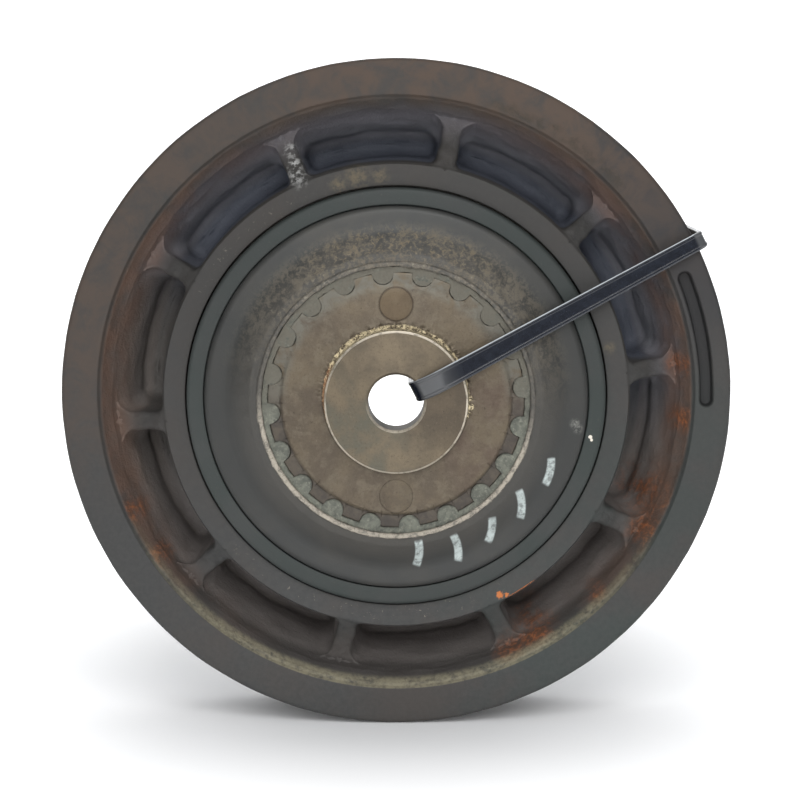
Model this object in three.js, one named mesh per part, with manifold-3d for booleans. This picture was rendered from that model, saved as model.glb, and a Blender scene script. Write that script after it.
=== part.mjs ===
// An electromagnetic clutch for a belt-driven compressor, in millimetres, +Z up.
//
// The clutch axis is Y. The belt pulley, the hub and the armature face -Y (the front), and the
// rear face of the bearing carrier's flange, which bolts to the compressor, lies in the plane
// y = 0. The origin is the point where the axis meets that plane.
//
// Four units share the axis. The carrier, the field coil and the bearing's inner ring stand
// still. The pulley, the rotor and the bearing's outer ring turn with the belts. The toothed hub
// turns with the compressor shaft, and carries the armature, which slides onto the rotor when
// the coil pulls it.

import * as THREE from 'three';
import { mergeVertices } from 'three/addons/utils/BufferGeometryUtils.js';
import Module from 'manifold-3d';

const wasm = await Module();
wasm.setup();

// ---------------------------------------------------------------------------- driving sizes

const GAP = 0.3; // between solids that touch on the real clutch
const SMALL_FACETS = 28; // round the bearing's rings
const RING_FACETS = 36; // round the coil, the rotor and the armature
const RIM_FACETS = 54; // round the pulley

const RIM_RADIUS = 105;
const RIM_FRONT = -69;
const RIM_REAR = -25;
const RIM_INNER_RADIUS = 93.7; // inner edge of the rim's front face
const EDGE_ROUND = 1.3;

const GROOVE_COUNT = 2;
const GROOVE_PITCH = 19; // two B-section belts
const GROOVE_EDGE = 12.5; // rim front to the first groove's middle
const GROOVE_TOP = 16.3;
const GROOVE_DEPTH = 14;
const GROOVE_SIDE = THREE.MathUtils.degToRad(19);

const RING_INNER_RADIUS = 65.7; // the pulley's hub ring
const RING_OUTER_RADIUS = 72.6;
const RING_FRONT = -73;
const RING_REAR = -24;

const SPOKE_COUNT = 10;
const SPOKE_START = 12; // degrees clockwise from the top, seen from the front
const SPOKE_HALF_WIDTH = 3;
const POCKET_FLOOR = -36;
const WEB_REAR = -29;

const ROTOR_FACE = -66;
const ROTOR_DISC_REAR = -58;
const OUTER_POLE_INNER_RADIUS = 61.6;
const INNER_POLE_OUTER_RADIUS = 44.5;
const AIR_GAP = 0.5; // the armature's travel

const BEARING_BORE_RADIUS = 25; // a 50 x 80 x 20 ball bearing
const BEARING_OUTER_RADIUS = 40;
const BEARING_WIDTH = 20;
const BALL_RADIUS = 4.2;
const BALL_COUNT = 13;
const BALL_CIRCLE_RADIUS = 32.5;
const RACEWAY_RADIUS = 4.75;
const RACE_LAND_HALF_GAP = 3.1; // pitch circle to either ring's land

const ARMATURE_RADIUS = 65.2;
const ARMATURE_FRONT = -75.5;
const PLATE_RADIUS = 59.6;
const PLATE_FRONT = -77.1;
const COLLAR_RADIUS = 41.4; // the plate's bore, round the rubber ring
const COLLAR_FRONT = -83.4;

const TOOTH_COUNT = 20;
const TOOTH_START = 3; // degrees clockwise from the top
const TOOTH_TIP_RADIUS = 39.6;
const TOOTH_ROOT_RADIUS = 35;
const HUB_FLANGE_FRONT = -82.4;
const HUB_FLANGE_REAR = -74;
const BOSS_FRONT = -88;
const BOSS_RADIUS = 22;
const HUB_BARREL_RADIUS = 20;
const HUB_REAR = -40;
const BOLT_HOLE_RADIUS = 8.6; // clears an M16 bolt
const BOLT_LAND_REAR = -76;
const TAPER_FRONT_RADIUS = 12.6;
const TAPER_REAR_RADIUS = 15.2;
const PLUG_CIRCLE_RADIUS = 29.8;
const PLUG_HOLE_RADIUS = 5.5;

const CARRIER_FRONT = -61;
const CARRIER_BORE_RADIUS = 21.5;
const CARRIER_SHOULDER_RADIUS = 28.5;
const FLANGE_RADIUS = 60;
const FLANGE_FRONT = -9.5;
const FLANGE_HOLE_COUNT = 4;
const FLANGE_HOLE_CIRCLE = 37;
const FLANGE_HOLE_RADIUS = 4.5;

const COIL_INNER_RADIUS = 45.8;
const COIL_OUTER_RADIUS = 60.3;
const COIL_FRONT = -56.2;
const COIL_REAR = FLANGE_FRONT - GAP;
const COIL_WALL = 3;
const SCREW_COUNT = 4;
const SCREW_START = 30;
const SCREW_CIRCLE_RADIUS = 53;

const TIE_AZIMUTH = 62.7;
const TIE_WIDTH = 7.6;
const TIE_THICKNESS = 1.4;

// ------------------------------------------------------------------------------- materials

function finish(color, roughness, metalness) {
  return new THREE.MeshStandardMaterial({ color, roughness, metalness });
}

const castIron = finish(0x47443f, 0.75, 0.55);
const darkSteel = finish(0x4b4d4c, 0.5, 0.6);
const bareSteel = finish(0x6a6255, 0.42, 0.9);
const brightSteel = finish(0xa6a49e, 0.25, 1);
const agedRubber = finish(0x77766f, 0.85, 0);
const blackRubber = finish(0x1d1d1c, 0.8, 0);
const frictionLining = finish(0x4f4438, 0.9, 0);
const copper = finish(0xb06a3a, 0.4, 0.9);
const resin = finish(0x2c2a26, 0.55, 0);
const bobbinPlastic = finish(0xb9a98a, 0.6, 0);
const brassAlloy = finish(0xb08a4a, 0.35, 0.9);
const zincSteel = finish(0xb5b2a6, 0.35, 0.9);
const blackNylon = finish(0x15171c, 0.3, 0);

// ----------------------------------------------------------------------------- shape tools

const radians = THREE.MathUtils.degToRad;

// Corners are [u, v] or [u, v, radius]; a radius rounds that corner with an arc.
function rounded(corners, steps = 2) {
  const count = corners.length;
  const point = (i) => new THREE.Vector2(...corners[(i + count) % count]);
  return corners.flatMap(([, , radius = 0], i) => {
    const corner = point(i);
    if (radius === 0) return [corner];
    const back = point(i - 1).sub(corner).normalize();
    const onward = point(i + 1).sub(corner).normalize();
    const half = Math.acos(back.dot(onward)) / 2;
    const centre = back.clone().add(onward).setLength(radius / Math.sin(half)).add(corner);
    const reach = radius / Math.tan(half);
    const start = back.multiplyScalar(reach).add(corner).sub(centre);
    const end = onward.multiplyScalar(reach).add(corner).sub(centre);
    const turn = Math.atan2(start.cross(end), start.dot(end));
    return Array.from({ length: steps + 1 }, (_, step) =>
      start.clone().rotateAround(new THREE.Vector2(), (turn * step) / steps).add(centre));
  });
}

// Points of an arc about (u, v) from one angle to another, in degrees from the +u direction.
function arcPoints(u, v, radius, from, to, steps) {
  return Array.from({ length: steps + 1 }, (_, step) => {
    const angle = radians(from + ((to - from) * step) / steps);
    return [u + radius * Math.cos(angle), v + radius * Math.sin(angle)];
  });
}

// A ring turned about the Y axis from a closed outline of (radius, y) corners.
function turned(corners, facets = RING_FACETS, steps = 1) {
  const outline = rounded(corners, steps);
  return new THREE.LatheGeometry([...outline, outline[0]], facets);
}

// An extrusion along +Z of an outline with optional holes, all run anticlockwise.
function extruded(outline, depth, holes = []) {
  const anticlockwise = (points) =>
    (THREE.ShapeUtils.isClockWise(points) ? [...points].reverse() : points);
  const shape = new THREE.Shape(anticlockwise(outline));
  shape.holes = holes.map((hole) => new THREE.Path(anticlockwise(hole)));
  return new THREE.ExtrudeGeometry(shape, { depth, bevelEnabled: false });
}

// A prism along Y between two planes, from an outline of (x, z) points and optional holes.
function prism(outline, yLow, yHigh, holes = []) {
  return extruded(outline, yHigh - yLow, holes).rotateX(Math.PI / 2).translate(0, yHigh, 0);
}

// A cylinder along Y between two planes; a second radius makes it a cone.
function rod(radius, yLow, yHigh, facets = 20, highRadius = radius) {
  const geometry = new THREE.CylinderGeometry(highRadius, radius, yHigh - yLow, facets);
  return geometry.translate(0, (yLow + yHigh) / 2, 0);
}

// Moves a shape out from the axis and round to an azimuth, clockwise from the top.
function placed(geometry, azimuth, radius) {
  return geometry.translate(0, 0, radius).rotateY(radians(azimuth));
}

// Points round a polar outline given as [degrees clockwise from the top, radius].
function polar(points) {
  return points.map(([angle, radius]) =>
    new THREE.Vector2(radius * Math.sin(radians(angle)), radius * Math.cos(radians(angle))));
}

const circle = (radius, facets) => polar(times(facets, (i) => [(i * 360) / facets, radius]));

// An arc-shaped slot outline, its ends cut square, about the axis.
function arcSlot(innerRadius, outerRadius, from, to, steps) {
  const sweep = (radius, start, end) => Array.from({ length: steps + 1 }, (_, step) =>
    [start + ((end - start) * step) / steps, radius]);
  return polar([...sweep(innerRadius, from, to), ...sweep(outerRadius, to, from)]);
}

// Every outline point moved sideways by a distance, along the mean of its two edge normals.
function offset(outline, distance) {
  const count = outline.length;
  const area = THREE.ShapeUtils.area(outline);
  return outline.map((point, i) => {
    const before = outline[(i + count - 1) % count];
    const after = outline[(i + 1) % count];
    const along = after.clone().sub(before).normalize();
    const outward = new THREE.Vector2(along.y, -along.x).multiplyScalar(Math.sign(area));
    return point.clone().addScaledVector(outward, distance);
  });
}

function signedVolume(positions, triangles) {
  const [a, b, c] = [new THREE.Vector3(), new THREE.Vector3(), new THREE.Vector3()];
  let volume = 0;
  for (let i = 0; i < triangles.length; i += 3) {
    a.fromArray(positions, triangles[i] * 3);
    b.fromArray(positions, triangles[i + 1] * 3);
    c.fromArray(positions, triangles[i + 2] * 3);
    volume += a.dot(b.cross(c)) / 6;
  }
  return volume;
}

// Joins shared vertices, drops collapsed triangles and turns the faces outward.
function closed(geometry) {
  const bare = geometry.clone();
  bare.deleteAttribute('normal');
  bare.deleteAttribute('uv');
  const merged = mergeVertices(bare);
  const positions = merged.attributes.position.array;
  const triangles = [];
  for (let i = 0; i < merged.index.count; i += 3) {
    const [p, q, r] = [0, 1, 2].map((k) => merged.index.getX(i + k));
    if (p !== q && q !== r && r !== p) triangles.push(p, q, r);
  }
  if (signedVolume(positions, triangles) < 0) triangles.reverse();
  const result = new THREE.BufferGeometry();
  result.setAttribute('position', new THREE.BufferAttribute(new Float32Array(positions), 3));
  result.setIndex(triangles);
  return result;
}

function toSolid(geometry) {
  const shell = closed(geometry);
  return new wasm.Manifold(new wasm.Mesh({
    numProp: 3,
    vertProperties: shell.attributes.position.array,
    triVerts: Uint32Array.from(shell.index.array),
  }));
}

function toGeometry(solid) {
  const { vertProperties, triVerts } = solid.getMesh();
  const geometry = new THREE.BufferGeometry();
  geometry.setAttribute('position', new THREE.BufferAttribute(new Float32Array(vertProperties), 3));
  geometry.setIndex(Array.from(triVerts));
  return geometry;
}

const cut = (body, cutters) => cutters.reduce((rest, cutter) => rest.subtract(toSolid(cutter)), body);

const times = (count, make) => Array.from({ length: count }, (_, i) => make(i));

// ------------------------------------------------------------------------------ the assembly

const clutch = new THREE.Group();

function addPart(name, geometry, material) {
  const mesh = new THREE.Mesh(closed(geometry), material);
  mesh.geometry.computeVertexNormals();
  mesh.name = name;
  clutch.add(mesh);
  return mesh;
}

// ---------------------------------------------------------------------------- belt pulley

const SPOKE_ROOT_DROP = 1.6; // the spokes start this far behind the hub ring's face
const SPOKE_END_RADIUS = 88.4; // where their front edges, which fall back, meet the rim's bevel
const SPOKE_END_FRONT = -60.4;
const BEVEL_FOOT_RADIUS = 89.2;
const BEVEL_FOOT = -63.2;
const WEB_INNER_RADIUS = 75; // of the web's rear face
const WEB_OUTER_RADIUS = 90;
const RIM_REAR_INNER_RADIUS = 93;
const POCKET_FLOOR_INNER_RADIUS = 74;
const POCKET_FLOOR_OUTER_RADIUS = 82;
const CLEAR_OF_FRONT = -80; // cutters start here, in front of the casting
const SLOT_INNER_RADIUS = 94.8; // the balance slot in the rim's front face
const SLOT_OUTER_RADIUS = 99.5;
const SLOT_START = 66;
const SLOT_END = 92.5;
const SLOT_DEPTH = 3;

function grooveCorners(middle) {
  const floorHalf = GROOVE_TOP / 2 - GROOVE_DEPTH * Math.tan(GROOVE_SIDE);
  const floorRadius = RIM_RADIUS - GROOVE_DEPTH;
  return [
    [RIM_RADIUS, middle - GROOVE_TOP / 2],
    [floorRadius, middle - floorHalf],
    [floorRadius, middle + floorHalf],
    [RIM_RADIUS, middle + GROOVE_TOP / 2],
  ];
}

function pulleyBlank() {
  const grooves = times(GROOVE_COUNT, (i) => grooveCorners(RIM_FRONT + GROOVE_EDGE + i * GROOVE_PITCH));
  return turned([
    [RING_INNER_RADIUS, RING_FRONT],
    [RING_OUTER_RADIUS, RING_FRONT, 0.8],
    [RING_OUTER_RADIUS + 0.4, RING_FRONT + SPOKE_ROOT_DROP],
    [SPOKE_END_RADIUS, SPOKE_END_FRONT],
    [BEVEL_FOOT_RADIUS, BEVEL_FOOT],
    [RIM_INNER_RADIUS, RIM_FRONT],
    [RIM_RADIUS, RIM_FRONT, EDGE_ROUND],
    ...grooves.flat(),
    [RIM_RADIUS, RIM_REAR, EDGE_ROUND],
    [RIM_REAR_INNER_RADIUS, RIM_REAR],
    [WEB_OUTER_RADIUS, WEB_REAR],
    [WEB_INNER_RADIUS, WEB_REAR],
    [RING_OUTER_RADIUS, RING_REAR],
    [RING_INNER_RADIUS, RING_REAR],
  ], RIM_FACETS);
}

// One spoke in plan, waisted in the middle and flared at both ends, kept clear of the pockets.
function spoke(index) {
  const flare = 9;
  const half = [
    [flare, RING_OUTER_RADIUS - 3],
    [flare, RING_OUTER_RADIUS],
    [SPOKE_HALF_WIDTH, RING_OUTER_RADIUS + 0.6, 3.5],
    [SPOKE_HALF_WIDTH, SPOKE_END_RADIUS - 1, 3.5],
    [flare, SPOKE_END_RADIUS],
    [flare, SPOKE_END_RADIUS + 4],
  ];
  const mirrored = half.map(([u, v, radius]) => [-u, v, radius]).reverse();
  const outline = rounded([...half, ...mirrored]);
  const azimuth = SPOKE_START + (index * 360) / SPOKE_COUNT;
  return prism(outline, CLEAR_OF_FRONT, POCKET_FLOOR + 1).rotateY(radians(azimuth));
}

// The ten pockets between the spokes, with a hollowed outer wall and a closed floor.
function pockets() {
  const channel = toSolid(turned([
    [RING_OUTER_RADIUS, CLEAR_OF_FRONT],
    [POCKET_FLOOR_INNER_RADIUS, POCKET_FLOOR, 2],
    [POCKET_FLOOR_OUTER_RADIUS, POCKET_FLOOR, 2],
    [POCKET_FLOOR_OUTER_RADIUS + 3, POCKET_FLOOR - 15],
    [SPOKE_END_RADIUS, SPOKE_END_FRONT],
    [SPOKE_END_RADIUS, CLEAR_OF_FRONT],
  ], RIM_FACETS));
  return cut(channel, times(SPOKE_COUNT, spoke));
}

// The arc milled into the rim's front face to balance the casting.
function balanceSlot() {
  const outline = arcSlot(SLOT_INNER_RADIUS, SLOT_OUTER_RADIUS, SLOT_START, SLOT_END, 6);
  return prism(outline, RIM_FRONT - 1, RIM_FRONT + SLOT_DEPTH);
}

function pulley() {
  return toGeometry(toSolid(pulleyBlank()).subtract(pockets()).subtract(toSolid(balanceSlot())));
}

addPart('pulley', pulley(), castIron);

// ---------------------------------------------------------------------------------- rotor

const ROTOR_BORE_RADIUS = 33;
const INNER_SLOT_RADIUS = 48.9; // the middles of the rotor's two rings of flux slots
const OUTER_SLOT_RADIUS = 58.9;
const ARMATURE_SLOT_RADIUS = 53.9;
const FLUX_SLOT_HALF_WIDTH = 1.3;
const FACING_INNER_RADIUS = 52;
const FACING_OUTER_RADIUS = 56;
const FACING_DEPTH = 1.4;
const ROTOR_RADIUS = RING_INNER_RADIUS - GAP;
const SEAT_RADIUS = BEARING_OUTER_RADIUS + GAP;
const SEAT_REAR = -30;
const BEARING_FRONT = ROTOR_DISC_REAR + GAP;
const BEARING_REAR = BEARING_FRONT + BEARING_WIDTH;
const CLIP_THICKNESS = 1.4;
const CLIP_GROOVE_DEPTH = 1.7;

// Flux slots that force the field across the air gap into the armature.
function fluxSlots(radius, count, yLow, yHigh) {
  const bridge = 8; // degrees from a slot's end to the middle of the bridge beside it
  const [inner, outer] = [radius - FLUX_SLOT_HALF_WIDTH, radius + FLUX_SLOT_HALF_WIDTH];
  return times(count, (i) => {
    const start = (i * 360) / count + bridge;
    const end = ((i + 1) * 360) / count - bridge;
    return prism(arcSlot(inner, outer, start, end, 4), yLow, yHigh);
  });
}

function rotor() {
  const clipFront = BEARING_REAR + GAP;
  const clipRear = clipFront + CLIP_THICKNESS + 0.4;
  const blank = toSolid(turned([
    [ROTOR_BORE_RADIUS, ROTOR_FACE],
    [ROTOR_RADIUS, ROTOR_FACE],
    [ROTOR_RADIUS, RING_REAR],
    [OUTER_POLE_INNER_RADIUS, RING_REAR],
    [OUTER_POLE_INNER_RADIUS, ROTOR_DISC_REAR],
    [INNER_POLE_OUTER_RADIUS, ROTOR_DISC_REAR],
    [INNER_POLE_OUTER_RADIUS, SEAT_REAR],
    [SEAT_RADIUS, SEAT_REAR],
    [SEAT_RADIUS, clipRear],
    [SEAT_RADIUS + CLIP_GROOVE_DEPTH, clipRear],
    [SEAT_RADIUS + CLIP_GROOVE_DEPTH, clipFront],
    [SEAT_RADIUS, clipFront],
    [SEAT_RADIUS, ROTOR_DISC_REAR],
    [ROTOR_BORE_RADIUS, ROTOR_DISC_REAR],
  ]));
  const facingGroove = turned([
    [FACING_INNER_RADIUS - GAP, ROTOR_FACE - 1],
    [FACING_OUTER_RADIUS + GAP, ROTOR_FACE - 1],
    [FACING_OUTER_RADIUS + GAP, ROTOR_FACE + FACING_DEPTH],
    [FACING_INNER_RADIUS - GAP, ROTOR_FACE + FACING_DEPTH],
  ]);
  return toGeometry(cut(blank, [
    facingGroove,
    ...fluxSlots(INNER_SLOT_RADIUS, 6, ROTOR_FACE - 1, ROTOR_DISC_REAR + 1),
    ...fluxSlots(OUTER_SLOT_RADIUS, 6, ROTOR_FACE - 1, ROTOR_DISC_REAR + 1),
  ]));
}

function frictionRing() {
  return turned([
    [FACING_INNER_RADIUS, ROTOR_FACE + 0.1],
    [FACING_OUTER_RADIUS, ROTOR_FACE + 0.1],
    [FACING_OUTER_RADIUS, ROTOR_FACE + FACING_DEPTH - GAP],
    [FACING_INNER_RADIUS, ROTOR_FACE + FACING_DEPTH - GAP],
  ]);
}

addPart('rotor', rotor(), darkSteel);
addPart('friction_ring', frictionRing(), frictionLining);

// -------------------------------------------------------------------------------- bearing

const BEARING_MIDDLE = (BEARING_FRONT + BEARING_REAR) / 2;
const INNER_LAND_RADIUS = BALL_CIRCLE_RADIUS - RACE_LAND_HALF_GAP;
const OUTER_LAND_RADIUS = BALL_CIRCLE_RADIUS + RACE_LAND_HALF_GAP;
const SEAL_THICKNESS = 1.3;
const SEAL_INSET = 0.8;

// One bearing ring: side is -1 for the inner ring and +1 for the outer ring.
function bearingRing(side) {
  const landRadius = BALL_CIRCLE_RADIUS + side * RACE_LAND_HALF_GAP;
  const seatRadius = side < 0 ? BEARING_BORE_RADIUS + GAP : BEARING_OUTER_RADIUS;
  const opening = THREE.MathUtils.radToDeg(Math.acos(RACE_LAND_HALF_GAP / RACEWAY_RADIUS));
  const towards = side < 0 ? 180 : 0;
  const [from, to] = [towards - side * opening, towards + side * opening];
  const raceway = arcPoints(BALL_CIRCLE_RADIUS, BEARING_MIDDLE, RACEWAY_RADIUS, from, to, 3);
  return turned([
    [seatRadius, BEARING_FRONT, 0.6],
    [landRadius, BEARING_FRONT],
    ...raceway,
    [landRadius, BEARING_REAR],
    [seatRadius, BEARING_REAR, 0.6],
  ], SMALL_FACETS);
}

function bearingSeal(yLow) {
  return turned([
    [INNER_LAND_RADIUS + 0.4, yLow],
    [OUTER_LAND_RADIUS - GAP, yLow],
    [OUTER_LAND_RADIUS - GAP, yLow + SEAL_THICKNESS],
    [INNER_LAND_RADIUS + 0.4, yLow + SEAL_THICKNESS],
  ], SMALL_FACETS);
}

const ballAzimuth = (index) => (index * 360) / BALL_COUNT;

function ball(index) {
  const sphere = new THREE.SphereGeometry(BALL_RADIUS, 8, 6).translate(0, BEARING_MIDDLE, 0);
  return placed(sphere, ballAzimuth(index), BALL_CIRCLE_RADIUS);
}

// A round pocket bored through the cage for one ball.
function ballPocket(index) {
  const radius = BALL_RADIUS + 0.5;
  const bore = new THREE.CylinderGeometry(radius, radius, 10, 8).rotateX(Math.PI / 2);
  return placed(bore.translate(0, BEARING_MIDDLE, 0), ballAzimuth(index), BALL_CIRCLE_RADIUS);
}

function bearingCage() {
  const halfWidth = 5.6;
  const halfThickness = 1.2;
  const ring = toSolid(turned([
    [BALL_CIRCLE_RADIUS - halfThickness, BEARING_MIDDLE - halfWidth],
    [BALL_CIRCLE_RADIUS + halfThickness, BEARING_MIDDLE - halfWidth],
    [BALL_CIRCLE_RADIUS + halfThickness, BEARING_MIDDLE + halfWidth],
    [BALL_CIRCLE_RADIUS - halfThickness, BEARING_MIDDLE + halfWidth],
  ], BALL_COUNT * 2));
  return toGeometry(cut(ring, times(BALL_COUNT, ballPocket)));
}

// A spring circlip: an open ring with its gap at the bottom.
function circlip(innerRadius, outerRadius, yLow) {
  const gapHalf = 12;
  const outline = arcSlot(innerRadius, outerRadius, gapHalf - 180, 180 - gapHalf, 28);
  return prism(outline, yLow, yLow + CLIP_THICKNESS);
}

addPart('bearing_inner_ring', bearingRing(-1), brightSteel);
addPart('bearing_outer_ring', bearingRing(1), brightSteel);
addPart('bearing_seal_front', bearingSeal(BEARING_FRONT + SEAL_INSET), blackRubber);
addPart('bearing_seal_rear', bearingSeal(BEARING_REAR - SEAL_INSET - SEAL_THICKNESS), blackRubber);
addPart('bearing_cage', bearingCage(), brassAlloy);
times(BALL_COUNT, (i) => addPart(`bearing_ball_${i + 1}`, ball(i), brightSteel));
addPart(
  'rotor_circlip',
  circlip(SEAT_RADIUS - 3, SEAT_RADIUS + CLIP_GROOVE_DEPTH - GAP, BEARING_REAR + GAP + 0.2),
  darkSteel);

// --------------------------------------------------------------------------- armature unit

const ARMATURE_REAR = ROTOR_FACE - AIR_GAP;
const PLATE_REAR = ARMATURE_REAR - 7.1;
const PLATE_FLAT_RADIUS = 52.5; // the plate is flat from here out, and dished from here in
const SHOULDER_RADIUS = 45.4;
const BEAD_RADIUS = 42.7; // the collar's rolled edge

function armatureDisc() {
  const blank = toSolid(turned([
    [INNER_POLE_OUTER_RADIUS, ARMATURE_REAR],
    [ARMATURE_RADIUS, ARMATURE_REAR],
    [ARMATURE_RADIUS, ARMATURE_FRONT, 1.2],
    [PLATE_RADIUS + GAP, ARMATURE_FRONT],
    [PLATE_RADIUS + GAP, PLATE_REAR + GAP],
    [INNER_POLE_OUTER_RADIUS, PLATE_REAR + GAP],
  ]));
  return toGeometry(cut(blank, fluxSlots(ARMATURE_SLOT_RADIUS, 4, PLATE_REAR - 1, ARMATURE_REAR + 1)));
}

// The dished plate that carries the armature on the rubber ring, with a rounded collar.
function armaturePlate() {
  return turned([
    [PLATE_RADIUS, PLATE_REAR],
    [PLATE_RADIUS, PLATE_FRONT, 1.9],
    [PLATE_FLAT_RADIUS, PLATE_FRONT, 5],
    [SHOULDER_RADIUS, COLLAR_FRONT + 1.2, 2],
    [BEAD_RADIUS + 0.4, COLLAR_FRONT + 0.7],
    [BEAD_RADIUS, COLLAR_FRONT, 0.5],
    [COLLAR_RADIUS, COLLAR_FRONT, 0.6],
    [COLLAR_RADIUS, PLATE_REAR],
  ]);
}

addPart('armature_disc', armatureDisc(), darkSteel);
addPart('armature_plate', armaturePlate(), darkSteel);

// -------------------------------------------------------------------------------- hub unit

// Half a tooth from its crown to the middle of the gap: [degrees from the crown, radius].
const TOOTH_HALF = [
  [0, TOOTH_TIP_RADIUS],
  [2.8, TOOTH_TIP_RADIUS - 0.6],
  [4.3, TOOTH_TIP_RADIUS - 2.4],
  [5.7, TOOTH_ROOT_RADIUS + 0.6],
  [9, TOOTH_ROOT_RADIUS],
];

function toothedOutline() {
  const risingSide = TOOTH_HALF.slice(1).map(([angle, radius]) => [-angle, radius]).reverse();
  const tooth = [...risingSide, ...TOOTH_HALF.slice(0, -1)];
  return polar(times(TOOTH_COUNT, (i) => {
    const middle = TOOTH_START + (i * 360) / TOOTH_COUNT;
    return tooth.map(([angle, radius]) => [middle + angle, radius]);
  }).flat());
}

const PLUG_HOLE_DEPTH = 6;
const KEY_WIDTH = 6;

function hub() {
  const chamfer = 0.8;
  const bossFoot = BOSS_RADIUS + 0.5;
  const core = toSolid(turned([
    [BOLT_HOLE_RADIUS, BOSS_FRONT + chamfer],
    [BOLT_HOLE_RADIUS + chamfer, BOSS_FRONT],
    [BOSS_RADIUS - chamfer, BOSS_FRONT],
    [BOSS_RADIUS, BOSS_FRONT + chamfer],
    [bossFoot, HUB_FLANGE_FRONT + 1],
    [bossFoot, HUB_FLANGE_REAR - 1],
    [HUB_BARREL_RADIUS, HUB_FLANGE_REAR - 1],
    [HUB_BARREL_RADIUS, HUB_REAR, 0.8],
    [TAPER_REAR_RADIUS, HUB_REAR],
    [TAPER_FRONT_RADIUS, BOLT_LAND_REAR],
    [BOLT_HOLE_RADIUS, BOLT_LAND_REAR],
  ], SMALL_FACETS));
  const innerCircle = circle(HUB_BARREL_RADIUS - 2, SMALL_FACETS);
  const flange = toSolid(prism(toothedOutline(), HUB_FLANGE_FRONT, HUB_FLANGE_REAR, [innerCircle]));
  const keyway = new THREE.BoxGeometry(KEY_WIDTH, HUB_REAR - BOLT_LAND_REAR, KEY_WIDTH);
  keyway.translate(0, (HUB_REAR + BOLT_LAND_REAR) / 2 + 0.5, TAPER_FRONT_RADIUS + 1);
  const holeFloor = HUB_FLANGE_FRONT + PLUG_HOLE_DEPTH;
  const plugHoles = times(2, (i) =>
    placed(rod(PLUG_HOLE_RADIUS, HUB_FLANGE_FRONT - 1, holeFloor), i * 180, PLUG_CIRCLE_RADIUS));
  return toGeometry(cut(core.add(flange), [keyway, ...plugHoles]));
}

// A flush round plug that closes a blind hole in the hub's flange.
function hubPlug(index) {
  const rear = HUB_FLANGE_FRONT + PLUG_HOLE_DEPTH - GAP;
  const plug = rod(PLUG_HOLE_RADIUS - GAP, HUB_FLANGE_FRONT + 0.2, rear);
  return placed(plug, index * 180, PLUG_CIRCLE_RADIUS);
}

// The elastic ring whose lobes fill the gaps between the hub's teeth.
function rubberRing() {
  const outline = circle(COLLAR_RADIUS - GAP, RIM_FACETS);
  const hole = offset(toothedOutline(), GAP);
  return prism(outline, HUB_FLANGE_FRONT + GAP, HUB_FLANGE_REAR - GAP, [hole]);
}

addPart('hub', hub(), bareSteel);
times(2, (i) => addPart(`hub_plug_${i + 1}`, hubPlug(i), bareSteel));
addPart('rubber_ring', rubberRing(), agedRubber);

// -------------------------------------------------------------------------- bearing carrier

const SCREW_RADIUS = 2.5;
const SCREW_HEAD_RADIUS = 5;
const SCREW_HEAD_HEIGHT = 2.8;
const SCREW_LENGTH = 14;
const CARRIER_CLIP_FRONT = BEARING_FRONT - GAP - CLIP_THICKNESS - 0.4;
const CARRIER_CLIP_RADIUS = BEARING_BORE_RADIUS - 1.2;

const screwAzimuth = (index) => SCREW_START + (index * 360) / SCREW_COUNT;

function screwHole(index) {
  const shank = rod(SCREW_RADIUS + GAP, -SCREW_LENGTH - 1, 1, 10);
  return placed(shank, screwAzimuth(index), SCREW_CIRCLE_RADIUS);
}

function screwCountersink(index) {
  const [floor, above] = [-SCREW_HEAD_HEIGHT - GAP, 0.5];
  const sink = rod(SCREW_RADIUS + GAP, floor, above, 10, SCREW_RADIUS + GAP + above - floor);
  return placed(sink, screwAzimuth(index), SCREW_CIRCLE_RADIUS);
}

function bearingCarrier() {
  const blank = toSolid(turned([
    [CARRIER_BORE_RADIUS, CARRIER_FRONT],
    [BEARING_BORE_RADIUS, CARRIER_FRONT],
    [BEARING_BORE_RADIUS, CARRIER_CLIP_FRONT],
    [CARRIER_CLIP_RADIUS, CARRIER_CLIP_FRONT],
    [CARRIER_CLIP_RADIUS, BEARING_FRONT - GAP],
    [BEARING_BORE_RADIUS, BEARING_FRONT - GAP],
    [BEARING_BORE_RADIUS, BEARING_REAR + GAP],
    [CARRIER_SHOULDER_RADIUS, BEARING_REAR + GAP],
    [CARRIER_SHOULDER_RADIUS, FLANGE_FRONT, 3],
    [FLANGE_RADIUS, FLANGE_FRONT],
    [FLANGE_RADIUS, 0, 0.8],
    [CARRIER_BORE_RADIUS, 0],
  ], SMALL_FACETS));
  const flangeHoles = times(FLANGE_HOLE_COUNT, (i) => {
    const azimuth = 45 + (i * 360) / FLANGE_HOLE_COUNT;
    return placed(rod(FLANGE_HOLE_RADIUS, FLANGE_FRONT - 1, 1, 16), azimuth, FLANGE_HOLE_CIRCLE);
  });
  return toGeometry(cut(blank, [
    ...flangeHoles,
    ...times(SCREW_COUNT, screwHole),
    ...times(SCREW_COUNT, screwCountersink),
  ]));
}

addPart('bearing_carrier', bearingCarrier(), zincSteel);
addPart(
  'carrier_circlip',
  circlip(CARRIER_CLIP_RADIUS + GAP, BEARING_BORE_RADIUS + 2.6, CARRIER_CLIP_FRONT + 0.2),
  darkSteel);

// ------------------------------------------------------------------------------ field coil

const BOBBIN_INNER_RADIUS = COIL_INNER_RADIUS + COIL_WALL + GAP;
const BOBBIN_OUTER_RADIUS = COIL_OUTER_RADIUS - COIL_WALL - GAP;
const COIL_BACK_WALL = 6;
const BOBBIN_FRONT = COIL_FRONT + 3.2;
const BOBBIN_REAR = COIL_REAR - COIL_BACK_WALL - GAP;
const BOBBIN_WALL = 1.1;

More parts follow.
